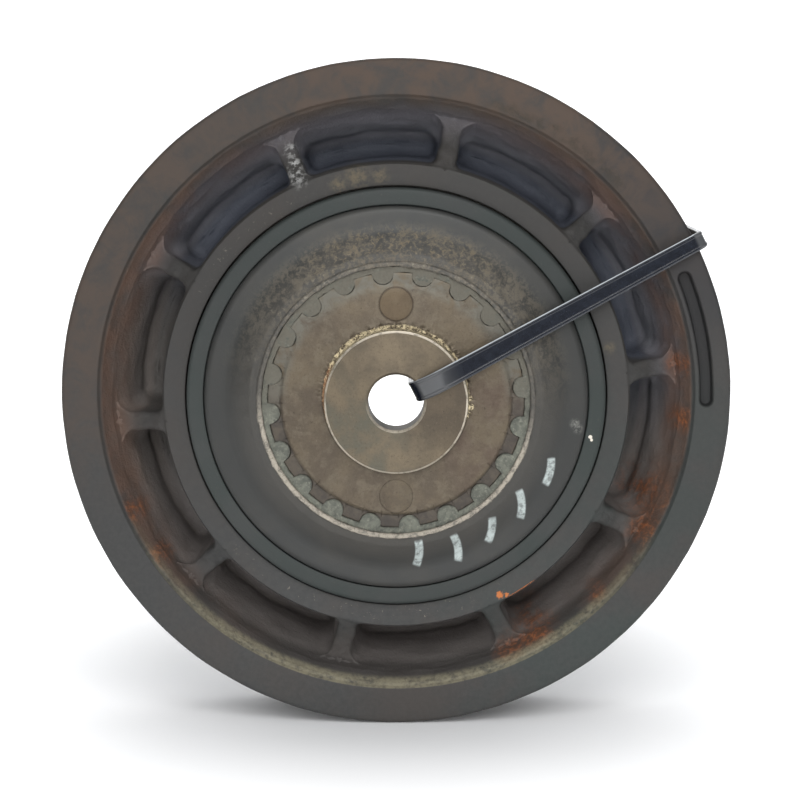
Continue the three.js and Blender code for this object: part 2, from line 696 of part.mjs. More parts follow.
function coilHousing() {
  const floor = COIL_REAR - COIL_BACK_WALL;
  const blank = toSolid(turned([
    [COIL_INNER_RADIUS, COIL_FRONT],
    [COIL_INNER_RADIUS + COIL_WALL, COIL_FRONT],
    [COIL_INNER_RADIUS + COIL_WALL, floor],
    [COIL_OUTER_RADIUS - COIL_WALL, floor],
    [COIL_OUTER_RADIUS - COIL_WALL, COIL_FRONT],
    [COIL_OUTER_RADIUS, COIL_FRONT],
    [COIL_OUTER_RADIUS, COIL_REAR],
    [COIL_INNER_RADIUS, COIL_REAR],
  ]));
  return toGeometry(cut(blank, times(SCREW_COUNT, screwHole)));
}

function coilBobbin() {
  return turned([
    [BOBBIN_INNER_RADIUS, BOBBIN_FRONT],
    [BOBBIN_OUTER_RADIUS, BOBBIN_FRONT],
    [BOBBIN_OUTER_RADIUS, BOBBIN_FRONT + BOBBIN_WALL],
    [BOBBIN_INNER_RADIUS + BOBBIN_WALL, BOBBIN_FRONT + BOBBIN_WALL],
    [BOBBIN_INNER_RADIUS + BOBBIN_WALL, BOBBIN_REAR - BOBBIN_WALL],
    [BOBBIN_OUTER_RADIUS, BOBBIN_REAR - BOBBIN_WALL],
    [BOBBIN_OUTER_RADIUS, BOBBIN_REAR],
    [BOBBIN_INNER_RADIUS, BOBBIN_REAR],
  ]);
}

// A plain ring between two radii and two planes.
function band(innerRadius, outerRadius, yLow, yHigh) {
  return turned([[innerRadius, yLow], [outerRadius, yLow], [outerRadius, yHigh], [innerRadius, yHigh]]);
}

function coilWinding() {
  const inner = BOBBIN_INNER_RADIUS + BOBBIN_WALL + GAP;
  const front = BOBBIN_FRONT + BOBBIN_WALL + GAP;
  return band(inner, BOBBIN_OUTER_RADIUS - GAP, front, BOBBIN_REAR - BOBBIN_WALL - GAP);
}

function coilPotting() {
  return band(BOBBIN_INNER_RADIUS, BOBBIN_OUTER_RADIUS, COIL_FRONT + GAP, BOBBIN_FRONT - GAP);
}

// A countersunk screw from the flange's rear face into the coil's back wall.
function coilScrew(index) {
  const profile = [
    [0, -SCREW_LENGTH],
    [SCREW_RADIUS, -SCREW_LENGTH],
    [SCREW_RADIUS, -SCREW_HEAD_HEIGHT],
    [SCREW_HEAD_RADIUS, -GAP],
    [0, -GAP],
  ].map(([radius, y]) => new THREE.Vector2(radius, y));
  return placed(new THREE.LatheGeometry(profile, 10), screwAzimuth(index), SCREW_CIRCLE_RADIUS);
}

// The rubber gland on the coil's edge where its lead comes out, with an open lead hole.
function leadGland() {
  const [base, top] = [COIL_OUTER_RADIUS + 0.4, COIL_OUTER_RADIUS + 10];
  return turned([
    [2.2, base + 1],
    [5, base],
    [5, base + 3, 0.5],
    [4, base + 4],
    [3.4, top, 0.6],
    [2.2, top],
  ], 12).rotateX(Math.PI / 2).translate(0, (COIL_REAR - 16) / 2 - 3.5, 0);
}

addPart('coil_housing', coilHousing(), darkSteel);
addPart('coil_bobbin', coilBobbin(), bobbinPlastic);
addPart('coil_winding', coilWinding(), copper);
addPart('coil_potting', coilPotting(), resin);
times(SCREW_COUNT, (i) => addPart(`coil_screw_${i + 1}`, coilScrew(i), zincSteel));
addPart('lead_gland', leadGland(), blackRubber);

// ---------------------------------------------------------------------------- shipping tie

// The strap's loop in the plane of its azimuth: up the bore, out over the rim and back.
const TIE_BORE_RADIUS = 6.3;
const TIE_RIM_RADIUS = RIM_RADIUS + 2.1;
const TIE_LOOP = [
  [TIE_BORE_RADIUS, 1.4, 4],
  [TIE_BORE_RADIUS, BOSS_FRONT - 4.6, 4],
  [TIE_RIM_RADIUS, RIM_FRONT - 2, 2.2],
  [TIE_RIM_RADIUS, RIM_REAR + 2, 3],
  [FLANGE_RADIUS + 1.2, 1.4, 3],
];

// Turns a prism drawn in the (radius, y) plane so that it stands in the tie's plane.
function inTiePlane(outline, width, holes = []) {
  return extruded(outline, width, holes).translate(0, 0, -width / 2).rotateY(radians(TIE_AZIMUTH - 90));
}

function tieStrap() {
  const centreLine = rounded(TIE_LOOP, 5);
  const half = TIE_THICKNESS / 2;
  return inTiePlane(offset(centreLine, half), TIE_WIDTH, [offset(centreLine, -half)]);
}

// The tie's locking head on the loop's rear run, with the strap's cut end beside it.
function tieHead() {
  const from = new THREE.Vector2(...TIE_LOOP[4]);
  const to = new THREE.Vector2(...TIE_LOOP[3]);
  const along = to.clone().sub(from).normalize();
  const outward = new THREE.Vector2(-along.y, along.x);
  const middle = from.clone().lerp(to, 0.55);
  const corner = (u, v) => middle.clone().addScaledVector(along, u).addScaledVector(outward, v);
  const box = (u, low, high) => [corner(-u, low), corner(u, low), corner(u, high), corner(-u, high)];
  const slot = TIE_THICKNESS / 2 + GAP;
  const block = toSolid(inTiePlane(box(3.6, -1.9, 4.4), TIE_WIDTH + 2.4));
  const window = toSolid(inTiePlane(box(5, -slot, slot), TIE_WIDTH + 2 * GAP));
  const cutEnd = [corner(2, 1.6), corner(15, 1.6), corner(15, 3), corner(2, 3)];
  const tail = toSolid(inTiePlane(cutEnd, TIE_WIDTH));
  return toGeometry(block.subtract(window).add(tail));
}

addPart('tie_strap', tieStrap(), blackNylon);
addPart('tie_head', tieHead(), blackNylon);

export default clutch;
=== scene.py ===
"""The visual model of an electromagnetic clutch: fine meshes and procedural materials on its CAD frame.

Lengths are millimetres until a mesh is made. The clutch's axis is Y and its front faces -Y.
Azimuths are degrees clockwise from the top, seen from the front.
"""

import math
from functools import partialmethod

import bmesh
import bpy
import numpy as np
from mathutils import Matrix, Vector, noise


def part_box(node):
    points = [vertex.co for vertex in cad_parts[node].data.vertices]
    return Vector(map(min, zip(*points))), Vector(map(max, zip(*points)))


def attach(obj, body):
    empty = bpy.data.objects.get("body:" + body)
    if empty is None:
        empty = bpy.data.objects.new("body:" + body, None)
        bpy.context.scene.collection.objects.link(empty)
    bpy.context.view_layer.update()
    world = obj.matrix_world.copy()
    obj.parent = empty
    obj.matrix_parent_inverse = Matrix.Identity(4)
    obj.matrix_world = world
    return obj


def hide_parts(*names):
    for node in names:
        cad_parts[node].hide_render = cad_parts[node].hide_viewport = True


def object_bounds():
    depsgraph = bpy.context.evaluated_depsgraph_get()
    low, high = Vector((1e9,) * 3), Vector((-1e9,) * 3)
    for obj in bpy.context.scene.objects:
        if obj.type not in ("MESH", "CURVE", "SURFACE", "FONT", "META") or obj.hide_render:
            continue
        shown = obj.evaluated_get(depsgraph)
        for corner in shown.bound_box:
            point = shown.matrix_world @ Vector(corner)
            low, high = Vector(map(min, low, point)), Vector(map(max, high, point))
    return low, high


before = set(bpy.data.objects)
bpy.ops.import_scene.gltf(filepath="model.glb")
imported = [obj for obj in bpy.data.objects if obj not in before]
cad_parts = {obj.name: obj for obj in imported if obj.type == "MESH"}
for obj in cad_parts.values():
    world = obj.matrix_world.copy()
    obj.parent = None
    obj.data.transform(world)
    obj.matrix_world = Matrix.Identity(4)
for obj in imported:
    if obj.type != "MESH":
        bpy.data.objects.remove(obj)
cad_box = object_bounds()

MM = 0.001

# -------- camera

CAMERA_ELEVATION = math.radians(6.9)
CAMERA_DISTANCE = 800  # to the rim's front face, along the line of sight
CAMERA_LENS = 115
CAMERA_SIDESTEP = 1.2  # the line of sight passes this far right of the axis
CAMERA_DROP = 1.4  # and this far below it, at the rim's front face
RIM_FRONT = -69


def stand(name, data, place, forward):
    """Puts a camera or a lamp at a place in metres, looking forward."""
    made = bpy.data.objects.new(name, data)
    made.location = place
    made.rotation_mode = "QUATERNION"
    made.rotation_quaternion = forward.to_track_quat("-Z", "Y")
    bpy.context.scene.collection.objects.link(made)
    return made


def make_camera():
    back = Vector((0, -math.cos(CAMERA_ELEVATION), math.sin(CAMERA_ELEVATION)))
    up = Vector((0, math.sin(CAMERA_ELEVATION), math.cos(CAMERA_ELEVATION)))
    target = Vector((CAMERA_SIDESTEP, RIM_FRONT, 0)) - CAMERA_DROP * up
    data = bpy.data.cameras.new("camera")
    data.lens = CAMERA_LENS
    data.clip_start = 0.01
    bpy.context.scene.camera = stand("camera", data, (target + CAMERA_DISTANCE * back) * MM, -back)


make_camera()

# -------- sizes

GAP = 0.3  # between pieces that touch on the real clutch

RIM_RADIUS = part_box("pulley")[1].x / MM
RIM_REAR = -25
RIM_INNER_RADIUS = 93.7
GROOVE_MIDDLES = (-56.5, -37.5)
GROOVE_TOP = 16.3
GROOVE_DEPTH = 14
GROOVE_SIDE = math.radians(19)
RING_INNER_RADIUS = 65.7
RING_OUTER_RADIUS = 72.6
RING_FRONT = -73
RING_REAR = -24
SPOKE_COUNT = 10
SPOKE_START = 12
POCKET_FLOOR = -36
WEB_REAR = -29

ROTOR_FACE = -66
ROTOR_DISC_REAR = -58
ROTOR_RADIUS = RING_INNER_RADIUS - 0.02
ROTOR_BORE_RADIUS = 33
ROTOR_TUBE_RADIUS = 44.5  # outside the bearing's seat
ROTOR_SHELL_RADIUS = 61.6  # inside the outer pole
BEARING_SEAT_RADIUS = 40.3

ARMATURE_RADIUS = 65.2
ARMATURE_FRONT = -75.5
ARMATURE_REAR = -66.53  # clear of the rotor when it is pulled in, by a hair
PLATE_RADIUS = 59.6
PLATE_FRONT = -77.1
PLATE_REAR = -73.6
COLLAR_RADIUS = 41.4
ARMATURE_INNER_RADIUS = 44.5
COLLAR_FRONT = -83.4

TOOTH_COUNT = 20
TOOTH_START = 3
TOOTH_TIP_RADIUS = 39.6
TOOTH_FEET = (35, 35.9)  # the hub's face drops towards its teeth between these radii
LOBE_CIRCLE_RADIUS = 39.3  # the middles of the rubber's round lobes
LOBE_RADIUS = 3.3
HUB_FLANGE_FRONT = -82.4
HUB_FLANGE_REAR = -74
HUB_REAR = -40
BOSS_FRONT = -88
BOSS_RADIUS = 22
BOLT_HOLE_RADIUS = 8.6
BOLT_LAND_REAR = -76
PLUG_CIRCLE_RADIUS = 29.8
PLUG_RADIUS = 5.2

CARRIER_FRONT = -61
CARRIER_BORE_RADIUS = 21.5
CARRIER_RADIUS = 25  # in the bearing's bore
BEARING_STOP = -37.4  # the carrier's shoulder and the rotor's circlip groove behind the bearing
CIRCLIP_RADIUS = 23.8  # the floor of the carrier's groove in front of the bearing
FLANGE_RADIUS = 60
FLANGE_FRONT = -9.5
COIL_REAR = FLANGE_FRONT - GAP
COIL_INNER_RADIUS = 45.8
COIL_OUTER_RADIUS = 60.3
COIL_FRONT = -56.2
HOLE_CIRCLE_RADIUS = 37  # of the flange's four mounting holes
SCREW_CIRCLE_RADIUS = 53
SCREW_AZIMUTHS = (30, 120, 210, 300)

TIE_AZIMUTH = 62.7
STRAP_WIDTHS = (6.8, 5.3)  # as seen from the front: at the bore and at the rim, where it leans a little
STRAP_REACH = 107  # the strap's widths run from the axis to this radius
STRAP_BORE_RADIUS = 6.3
TIE_THICKNESS = 1.4

# -------- mesh tools


def polar(radius, azimuth, y):
    """Points at a radius and azimuth round the clutch's axis, as an array of (x, y, z)."""
    angle = np.radians(azimuth)
    return np.stack(np.broadcast_arrays(radius * np.sin(angle), y, radius * np.cos(angle)), axis=-1)


def corner_arc(before, corner, after, radius, steps):
    """Points of the arc that rounds a corner between two straight runs, as 2-D arrays."""
    back, onward = before - corner, after - corner
    back, onward = back / np.linalg.norm(back), onward / np.linalg.norm(onward)
    half = math.acos(np.clip(back @ onward, -1, 1)) / 2
    bisector = (back + onward) / np.linalg.norm(back + onward)
    centre = corner + bisector * radius / math.sin(half)
    start = corner + back * radius / math.tan(half) - centre
    end = corner + onward * radius / math.tan(half) - centre
    turn = math.atan2(start[0] * end[1] - start[1] * end[0], start @ end)
    angles = turn * np.linspace(0, 1, steps + 1)
    cos, sin = np.cos(angles), np.sin(angles)
    return centre + np.stack([start[0] * cos - start[1] * sin, start[0] * sin + start[1] * cos], axis=1)


def rounded(corners, steps=5):
    """A closed outline from corners (u, v) or (u, v, radius)."""
    places = [np.array(c[:2], float) for c in corners]
    outline = []
    for i, corner in enumerate(corners):
        if len(corner) < 3:
            outline.append(places[i][None])
        else:
            after = places[(i + 1) % len(corners)]
            outline.append(corner_arc(places[i - 1], places[i], after, corner[2], steps))
    return np.concatenate(outline)


def dense(outline, spacing, closed=True):
    """The outline with points added so that no run is longer than the spacing."""
    ends = np.roll(outline, -1, axis=0) if closed else outline[1:]
    points = []
    for start, end in zip(outline, ends):
        count = max(1, math.ceil(np.linalg.norm(end - start) / spacing))
        points.append(start + (end - start) * (np.arange(count) / count)[:, None])
    return np.concatenate(points if closed else [*points, outline[-1:]])


def skin(loops, close=False, cap=False):
    """Vertices and faces of loops of equal length joined in a row, or round to the first again."""
    rows, columns = len(loops), len(loops[0])
    faces = []
    for row in range(rows if close else rows - 1):
        low, high = row * columns, (row + 1) % rows * columns
        for column in range(columns):
            after = (column + 1) % columns
            faces.append((low + column, low + after, high + after, high + column))
    if cap:
        faces.append(tuple(range(columns - 1, -1, -1)))
        faces.append(tuple(range((rows - 1) * columns, rows * columns)))
    return np.concatenate(loops), faces


def turned(outline, segments=180):
    """A ring turned about the clutch's axis from a closed (radius, y) outline."""
    azimuths = np.arange(segments) * 360 / segments
    return skin([polar(radius, azimuths, y) for radius, y in outline], close=True)


def lathe(name, corners, steps, spacing, segments=180):
    """An object turned from rounded corners, with points no further apart than the spacing."""
    return mesh_object(name, turned(dense(rounded(corners, steps), spacing), segments))


def joined(*shells):
    """Several (vertices, faces) shells as one."""
    vertices, faces, start = [], [], 0
    for shell_vertices, shell_faces in shells:
        vertices.append(shell_vertices)
        faces += [tuple(start + i for i in face) for face in shell_faces]
        start += len(shell_vertices)
    return np.concatenate(vertices), faces


def moved(shell, matrix):
    vertices, faces = shell
    m = np.array(matrix)
    return vertices @ m[:3, :3].T + m[:3, 3], faces


def placed(shell, azimuth, radius, y=0):
    """A shell made round the Y axis, moved out from it to a radius and azimuth."""
    turn = Matrix.Rotation(math.radians(azimuth), 4, "Y")
    return moved(shell, turn @ Matrix.Translation((0, y, radius)))


def rod(corners, segments=48):
    """A solid turned about the Y axis from (radius, y) corners; both ends are flat discs."""
    outline = rounded(corners, 3)
    azimuths = np.arange(segments) * 360 / segments
    return skin([polar(radius, azimuths, y) for radius, y in outline], cap=True)


def mesh_object(name, shell, sharp=32):
    """A mesh object of a shell, its shared points merged and its faces outward and smooth."""
    vertices, faces = shell
    mesh = bpy.data.meshes.new(name)
    mesh.from_pydata((vertices * MM).tolist(), [], faces)
    work = bmesh.new()
    work.from_mesh(mesh)
    bmesh.ops.remove_doubles(work, verts=work.verts, dist=0.002 * MM)
    bmesh.ops.recalc_face_normals(work, faces=work.faces)
    work.to_mesh(mesh)
    work.free()
    made = bpy.data.objects.new(name, mesh)
    bpy.context.scene.collection.objects.link(made)
    shade(made, sharp)
    return made


def shade(piece, sharp):
    piece.data.shade_smooth()
    piece.data.set_sharp_from_angle(angle=math.radians(sharp))


def carve(piece, *shells, sharp=32):
    """Cuts closed shells out of a piece."""
    for shell in shells:
        cutter = mesh_object("cutter", shell)
        modifier = piece.modifiers.new("cut", "BOOLEAN")
        modifier.solver = "EXACT"
        modifier.object = cutter
        result = bpy.data.meshes.new_from_object(
            piece.evaluated_get(bpy.context.evaluated_depsgraph_get()))
        piece.modifiers.clear()
        old = piece.data
        piece.data = result
        bpy.data.meshes.remove(old)
        bpy.data.objects.remove(cutter)
    piece.data.name = piece.name
    shade(piece, sharp)


def roughen(piece, height, size, share, seed=0):
    """Moves a piece's points along their normals by fractal noise of a height and size in mm.

    share(radius, y, z) gives each point's part of that height, from 0 to 1.
    """
    mesh = piece.data
    points = np.empty(len(mesh.vertices) * 3, np.float32)
    mesh.vertices.foreach_get("co", points)
    points = points.reshape(-1, 3) / MM
    normals = np.array([v.vector for v in mesh.vertex_normals])
    x, y, z = points.T
    parts = np.clip(share(np.hypot(x, z), y, z), 0, 1)
    shift = Vector((seed * 17.3, seed * 5.1, -seed * 9.7))
    heights = np.zeros(len(points))
    for i in np.nonzero(parts > 0.01)[0]:
        heights[i] = noise.fractal(Vector(points[i]) / size + shift, 0.9, 2.1, 4)
    points += normals * (heights * parts * height)[:, None]
    mesh.vertices.foreach_set("co", (points * MM).astype(np.float32).ravel())
    mesh.update()


def step(value, low, high):
    """A smooth step from 0 at low to 1 at high; low may be the larger."""
    t = np.clip((value - low) / (high - low), 0, 1)
    return t * t * (3 - 2 * t)


def give(piece, material):
    """Gives a piece its material."""
    piece.data.materials.clear()
    piece.data.materials.append(material)


def finished(piece, material, body, slot, *nodes):
    """Gives a piece its body and material, and lets it stand for its CAD nodes; the slot argument is not used.
    """
    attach(piece, body)
    give(piece, material)
    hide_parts(*nodes)


# -------- material tools


def srgb(red, green, blue):
    """A colour from 0-255 screen values as linear red, green, blue and alpha."""
    values = [v / 255 for v in (red, green, blue)]
    return tuple(v / 12.92 if v <= 0.04045 else ((v + 0.055) / 1.055) ** 2.4 for v in values) + (1,)


class Mask:
    """A number that varies over a surface: a shader socket with arithmetic, where a | b is the larger."""

    def __init__(self, finish, socket):
        self.finish = finish
        self.socket = socket

    def calculated(self, operation, other=0):
        return self.finish.value("ShaderNodeMath", {0: self, 1: other}, operation=operation)

    __add__ = partialmethod(calculated, "ADD")
    __sub__ = partialmethod(calculated, "SUBTRACT")
    __mul__ = partialmethod(calculated, "MULTIPLY")
    __truediv__ = partialmethod(calculated, "DIVIDE")
    __or__ = partialmethod(calculated, "MAXIMUM")
    __abs__ = partialmethod(calculated, "ABSOLUTE")

    def __invert__(self):
        """1 where the mask is 0 and 0 where it is 1."""
        return self * -1 + 1

    def step(self, low, high):
        """A smooth step from 0 at low to 1 at high; low may be the larger."""
        inputs = {"Value": self, "From Min": low, "From Max": high}
        return self.finish.value("ShaderNodeMapRange", inputs, interpolation_type="SMOOTHSTEP")

    def scaled(self, low, high):
        """A mask from 0 to 1 as a value from low to high."""
        return self.finish.value("ShaderNodeMapRange", {"Value": self, "To Min": low, "To Max": high})


class Finish:
    """A procedural material, built up in short calls. Sizes are in millimetres, colours from 0 to 255."""

    def __init__(self, name):
        self.material = bpy.data.materials.new(name)
        self.material.use_nodes = True
        self.tree = self.material.node_tree
        self.shader = self.tree.nodes["Principled BSDF"]
        coordinates = self.node("ShaderNodeTexCoord")
        self.place = coordinates.outputs["Object"]
        self.normal = coordinates.outputs["Normal"]
        axes = self.node("ShaderNodeSeparateXYZ", {0: self.place})
        self.x, self.y, self.z = (Mask(self, axes.outputs[axis]) * (1 / MM) for axis in "XYZ")
        self.flat = self.node("ShaderNodeCombineXYZ", {"X": self.x, "Z": self.z}).outputs[0]
        self.radius = (self.x * self.x + self.z * self.z).calculated("SQRT")
        self.colour = None

    def node(self, kind, inputs=None, **settings):
        made = self.tree.nodes.new(kind)
        for name, value in settings.items():
            setattr(made, name, value)
        for name, value in (inputs or {}).items():
            self.feed(made.inputs[name], value)
        return made

    def feed(self, socket, value):
        if isinstance(value, Mask):
            value = value.socket
        if isinstance(value, bpy.types.NodeSocket):
            self.tree.links.new(value, socket)
        else:
            socket.default_value = value

    def value(self, kind, inputs, output=0, **settings):
        return Mask(self, self.node(kind, inputs, **settings).outputs[output])

    def measure(self, operation, *vectors):
        """The number that an operation on vectors gives."""
        return self.value("ShaderNodeVectorMath", dict(enumerate(vectors)), "Value", operation=operation)

    def noise(self, size, detail=4, roughness=0.6, distortion=0, seed=0):
        """Fractal noise about 0.5 whose largest features are of a size."""
        inputs = {"Vector": self.place, "W": seed, "Scale": 1 / (size * MM), "Detail": detail,
                  "Roughness": roughness, "Distortion": distortion}
        return self.value("ShaderNodeTexNoise", inputs, noise_dimensions="4D")

    def turning(self, size, seed=0):
        """Fine circular marks, as a lathe leaves: noise of the radius and depth only."""
        rings = self.node("ShaderNodeCombineXYZ", {"X": self.radius, "Y": self.y})
        inputs = {"Vector": rings.outputs[0], "W": seed, "Scale": 1 / size, "Detail": 3}
        return self.value("ShaderNodeTexNoise", inputs, noise_dimensions="4D")

    def band(self, low, high, soft=0.5):
        """1 between two radii."""
        return self.radius.step(low - soft, low + soft) * self.radius.step(high + soft, high - soft)

    def along(self, azimuth):
        """The distance from the axis, measured towards an azimuth."""
        across, _, up = polar(1, azimuth, 0).tolist()
        return self.x * across + self.z * up

    def toward(self, azimuth, spread):
        """1 on the side that faces an azimuth, fading to 0 at the spread to either side."""
        cosine = self.along(azimuth) / (self.radius | 0.1)
        return cosine.step(math.cos(math.radians(spread)), 1)

    def away(self, azimuth, radius):
        """The distance from a place on the front, whatever the depth."""
        return self.measure("DISTANCE", self.flat, polar(radius, azimuth, 0).tolist())

    def spots(self, places):
        """1 at each of some places (azimuth, radius, size), fading to 0 a size away."""
        mask = 0
        for azimuth, radius, size in places:
            mask = self.away(azimuth, radius).step(size, 0) | mask
        return mask

    def up(self, low, high):
        """1 on faces that look upward at rest."""
        return self.value("ShaderNodeSeparateXYZ", {"Vector": self.normal}, "Z").step(low, high)

    def mix(self, mask, *colours):
        """The first colour where the mask is 0 and the second where it is 1."""
        made = self.node("ShaderNodeMix", {"Factor": mask}, data_type="RGBA")
        for socket, colour in zip(made.inputs[6:8], colours):
            self.feed(socket, srgb(*colour) if isinstance(colour, tuple) else colour)
        return made.outputs[2]

    def coat(self, mask, colour, share=1):
        """Lays a share of a colour over the material's own, where the mask is."""
        self.colour = self.mix(mask if share == 1 else mask * share, self.colour, colour)

    def bump(self, *layers):
        """Bump from layers of (height, its depth in mm)."""
        normal = None
        for height, depth in layers:
            made = self.node("ShaderNodeBump", {"Height": height, "Distance": depth * MM, "Strength": 1})
            if normal:
                self.tree.links.new(normal, made.inputs["Normal"])
            normal = made.outputs["Normal"]
        self.tree.links.new(normal, self.shader.inputs["Normal"])

    def brushed(self, amount, **values):
        """Sets the shader's sockets, with highlights stretched as round turning marks."""
        around = self.node("ShaderNodeTangent", direction_type="RADIAL", axis="Y")
        self.tree.links.new(around.outputs[0], self.shader.inputs["Tangent"])
        return self.done(anisotropic=amount, anisotropic_rotation=0.25, **values)

    def done(self, **values):
        """Sets the shader's colour and its sockets, named in lower case with _ for a space."""
        names = {name.lower().replace(" ", "_"): name for name in self.shader.inputs.keys()}
        for name, value in {"base_color": self.colour, **values}.items():
            self.feed(self.shader.inputs[names[name]], value)
        return self.material


# -------- materials

RUST = (90, 63, 48)
BRIGHT_RUST = (150, 90, 54)
DARK_RUST = (58, 42, 36)
DUST = (140, 134, 112)

RUST_SPOTS = [  # in the pockets: azimuth, radius, size
    (112, 86, 12), (119, 90, 9), (150, 88, 11), (156, 91, 8), (135, 90, 5), (95, 90, 6), (236, 91, 6),
    (246, 91, 6), (84, 90, 6),
]
RUST_FLECKS = [(152.5, 70.6, 2.4), (151, 71.6, 1.5)]  # on the hub ring's outer edge
OLIVE_SPOTS = [(350, 69.6, 6), (345, 68.5, 4), (356, 69, 4), (77, 68, 3)]  # on the hub ring
BARE_SPOTS = [(336, 75, 5), (336.5, 79, 4), (337, 83, 4)]  # along one spoke


def cast_iron():
    """The pulley: a dusty dark casting with machined faces, rusty in its pockets; painted light fills its
    pockets and painted shade darkens its top, sides and balance slot.
    """
    f = Finish("cast_iron")
    fine = f.noise(1.6, 5, 0.65)
    broad = f.noise(26, seed=2)
    patches = f.noise(9, 6, 0.65, 0.6, seed=3)
    above = f.toward(15, 100).step(0, 0.5)
    below = f.toward(180, 85).step(0, 0.5)
    sides = f.toward(-85, 75) | f.toward(80, 75)
    f.colour = f.mix(fine.step(0.25, 0.75), (62, 63, 63), (74, 74, 73))
    f.coat(broad.step(0.38, 0.72), (78, 71, 66), 0.5)
    f.coat(f.toward(122, 60) * broad.step(0.6, 0.35), (58, 70, 66), 0.4)
    f.coat(f.toward(58, 28) * f.radius.step(92, 95), (50, 49, 54), 0.7)
    # painted shade: the top and the two sides darker, as the light falls on them
    f.coat(f.toward(-10, 115), (50, 47, 44), 0.55)
    f.coat(sides, (48, 47, 46), 0.4)
    # painted shade: the balance slot darker inside
    slot = f.band(94.9, 99.3, 0.2) * f.toward(79.3, 14).step(0, 0.1) * f.y.step(-68.8, -68)
    f.coat(slot, (38, 38, 39), 0.7)

    in_pocket = f.band(72.9, 92.6) * f.y.step(-72.4, -70.5) * f.y.step(-32, -34)
    # painted light: the pockets' floors and walls lighter than the casting, lightest in their deep parts and
    # bluish at the top, as though light filled them
    floor_fill_light = f.mix(below, f.mix(above, (84, 81, 78), (82, 86, 96)), (124, 119, 116))
    wall_fill_light = f.mix(below, f.mix(above, (118, 107, 100), (102, 100, 105)), (108, 103, 100))
    deep_fill_light = f.mix(below, f.mix(above, (126, 120, 116), (146, 146, 152)), (122, 116, 113))
    wall = f.radius.step(78, 82)
    pocket_fill_light = f.mix(wall, floor_fill_light, f.mix(f.y.step(-60, -46) * wall, wall_fill_light, deep_fill_light))
    f.coat(in_pocket * f.y.step(-68, -57), pocket_fill_light, 0.94)
    # painted shade: a darker band at the mouths of the lower pockets
    lip_shade = f.band(87.4, 91, 1.2) * below * f.y.step(-68.5, -66.5)
    f.coat(lip_shade, (60, 57, 55), 0.8)

    browning = f.toward(12, 62) | f.toward(-62, 55) * 0.7
    f.coat(browning * patches.step(0.3, 0.6) * f.radius.step(88, 95), (80, 66, 56), 0.8)
    stained = f.radius.step(82.5, 88) * in_pocket * sides * f.noise(14, 5, 0.6, seed=5).step(0.3, 0.6)
    f.coat(stained, (98, 76, 64), 0.7)
    rust = f.spots(RUST_SPOTS) * in_pocket * patches.step(0.36, 0.58)
    f.coat(rust, f.mix(fine.step(0.42, 0.66), RUST, BRIGHT_RUST), 0.9)
    crumbs = f.noise(0.7, 4, 0.75, seed=14)
    spot = f.spots(RUST_FLECKS)
    fleck = (spot * 0.5 + crumbs).step(0.72, 0.84) * spot.step(0, 0.1)
    trail = f.band(72.2, 72.6, 0.15) * f.toward(147, 4.5).step(0, 0.5)
    f.coat(fleck | trail * crumbs.step(0.42, 0.56), (196, 116, 62), 0.9)

    drift = abs(f.radius + f.noise(9, seed=7).scaled(-98.4, -92.6))
    grime = drift.step(3, 0.4) * f.toward(33, 21).step(0, 0.9) * f.noise(3.4, 6, 0.7, seed=18).step(0.4, 0.64)
    f.coat(grime, (50, 48, 41), 0.6)
    flakes = f.noise(1.5, 4, 0.75, 0.8, seed=9).step(0.6, 0.66)
    ring_face = f.band(66.3, 70.6, 0.6) * f.y.step(-72.6, -72.9)
    f.coat(ring_face * (f.toward(190, 48) | f.toward(-42, 30) * 0.5) * flakes, (136, 130, 118), 0.7)
    f.coat(f.spots(OLIVE_SPOTS) * fine.step(0.35, 0.65), (104, 94, 74), 0.7)
    f.coat(f.spots(BARE_SPOTS) * fine.step(0.45, 0.6) * f.y.step(-40, -50), (168, 168, 166), 0.8)
    ledge = f.up(0.3, 0.7) * f.radius.step(90.2, 91.8) * f.radius.step(94.6, 93.4)
    f.coat(ledge * (fine * 0.6 + patches * 0.4).step(0.32, 0.6), DUST, 0.8)

    flank = f.radius.step(91.8, 93) * f.radius.step(104.4, 103.6) * f.y.step(-66, -65) * f.y.step(-28, -29)
    marks = f.turning(0.5)
    f.coat(flank, f.mix(marks, (96, 94, 90), (134, 131, 126)), 0.7)
    cast = in_pocket | f.y.step(-31, -29.5) * f.band(74, 91, 0.8)
    f.bump((fine * cast.scaled(0.2, 1), 0.3), (patches * cast, 0.5), (grime * -1, 0.15), (marks, 0.02))
    return f.done(roughness=fine.scaled(0.48, 0.7) + flank * -0.2, metallic=0.1, specular_ior_level=0.25)


def armature_steel():
    """The armature's ring: smooth greenish dark grey steel."""
    f = Finish("armature_steel")
    fine = f.noise(1.2)
    broad = f.noise(22, 3, 0.5, seed=1)
    f.colour = f.mix(broad.step(0.35, 0.7), (52, 58, 56), (60, 62, 61))
    # painted shade: the upper side darker
    f.coat(f.toward(0, 120), (42, 46, 45), 0.5)
    f.coat(fine.step(0.6, 0.72), (88, 86, 81), 0.25)
    nick = (f.spots([(101.4, 61.6, 1.3), (102.2, 62.2, 1)]) + fine * 0.5).step(0.75, 0.9)
    f.coat(nick, (214, 208, 196))
    f.bump((f.turning(0.6), 0.02), (fine, 0.04))
    return f.brushed(0.4, roughness=broad.scaled(0.46, 0.58), metallic=0.2, specular_ior_level=0.3)


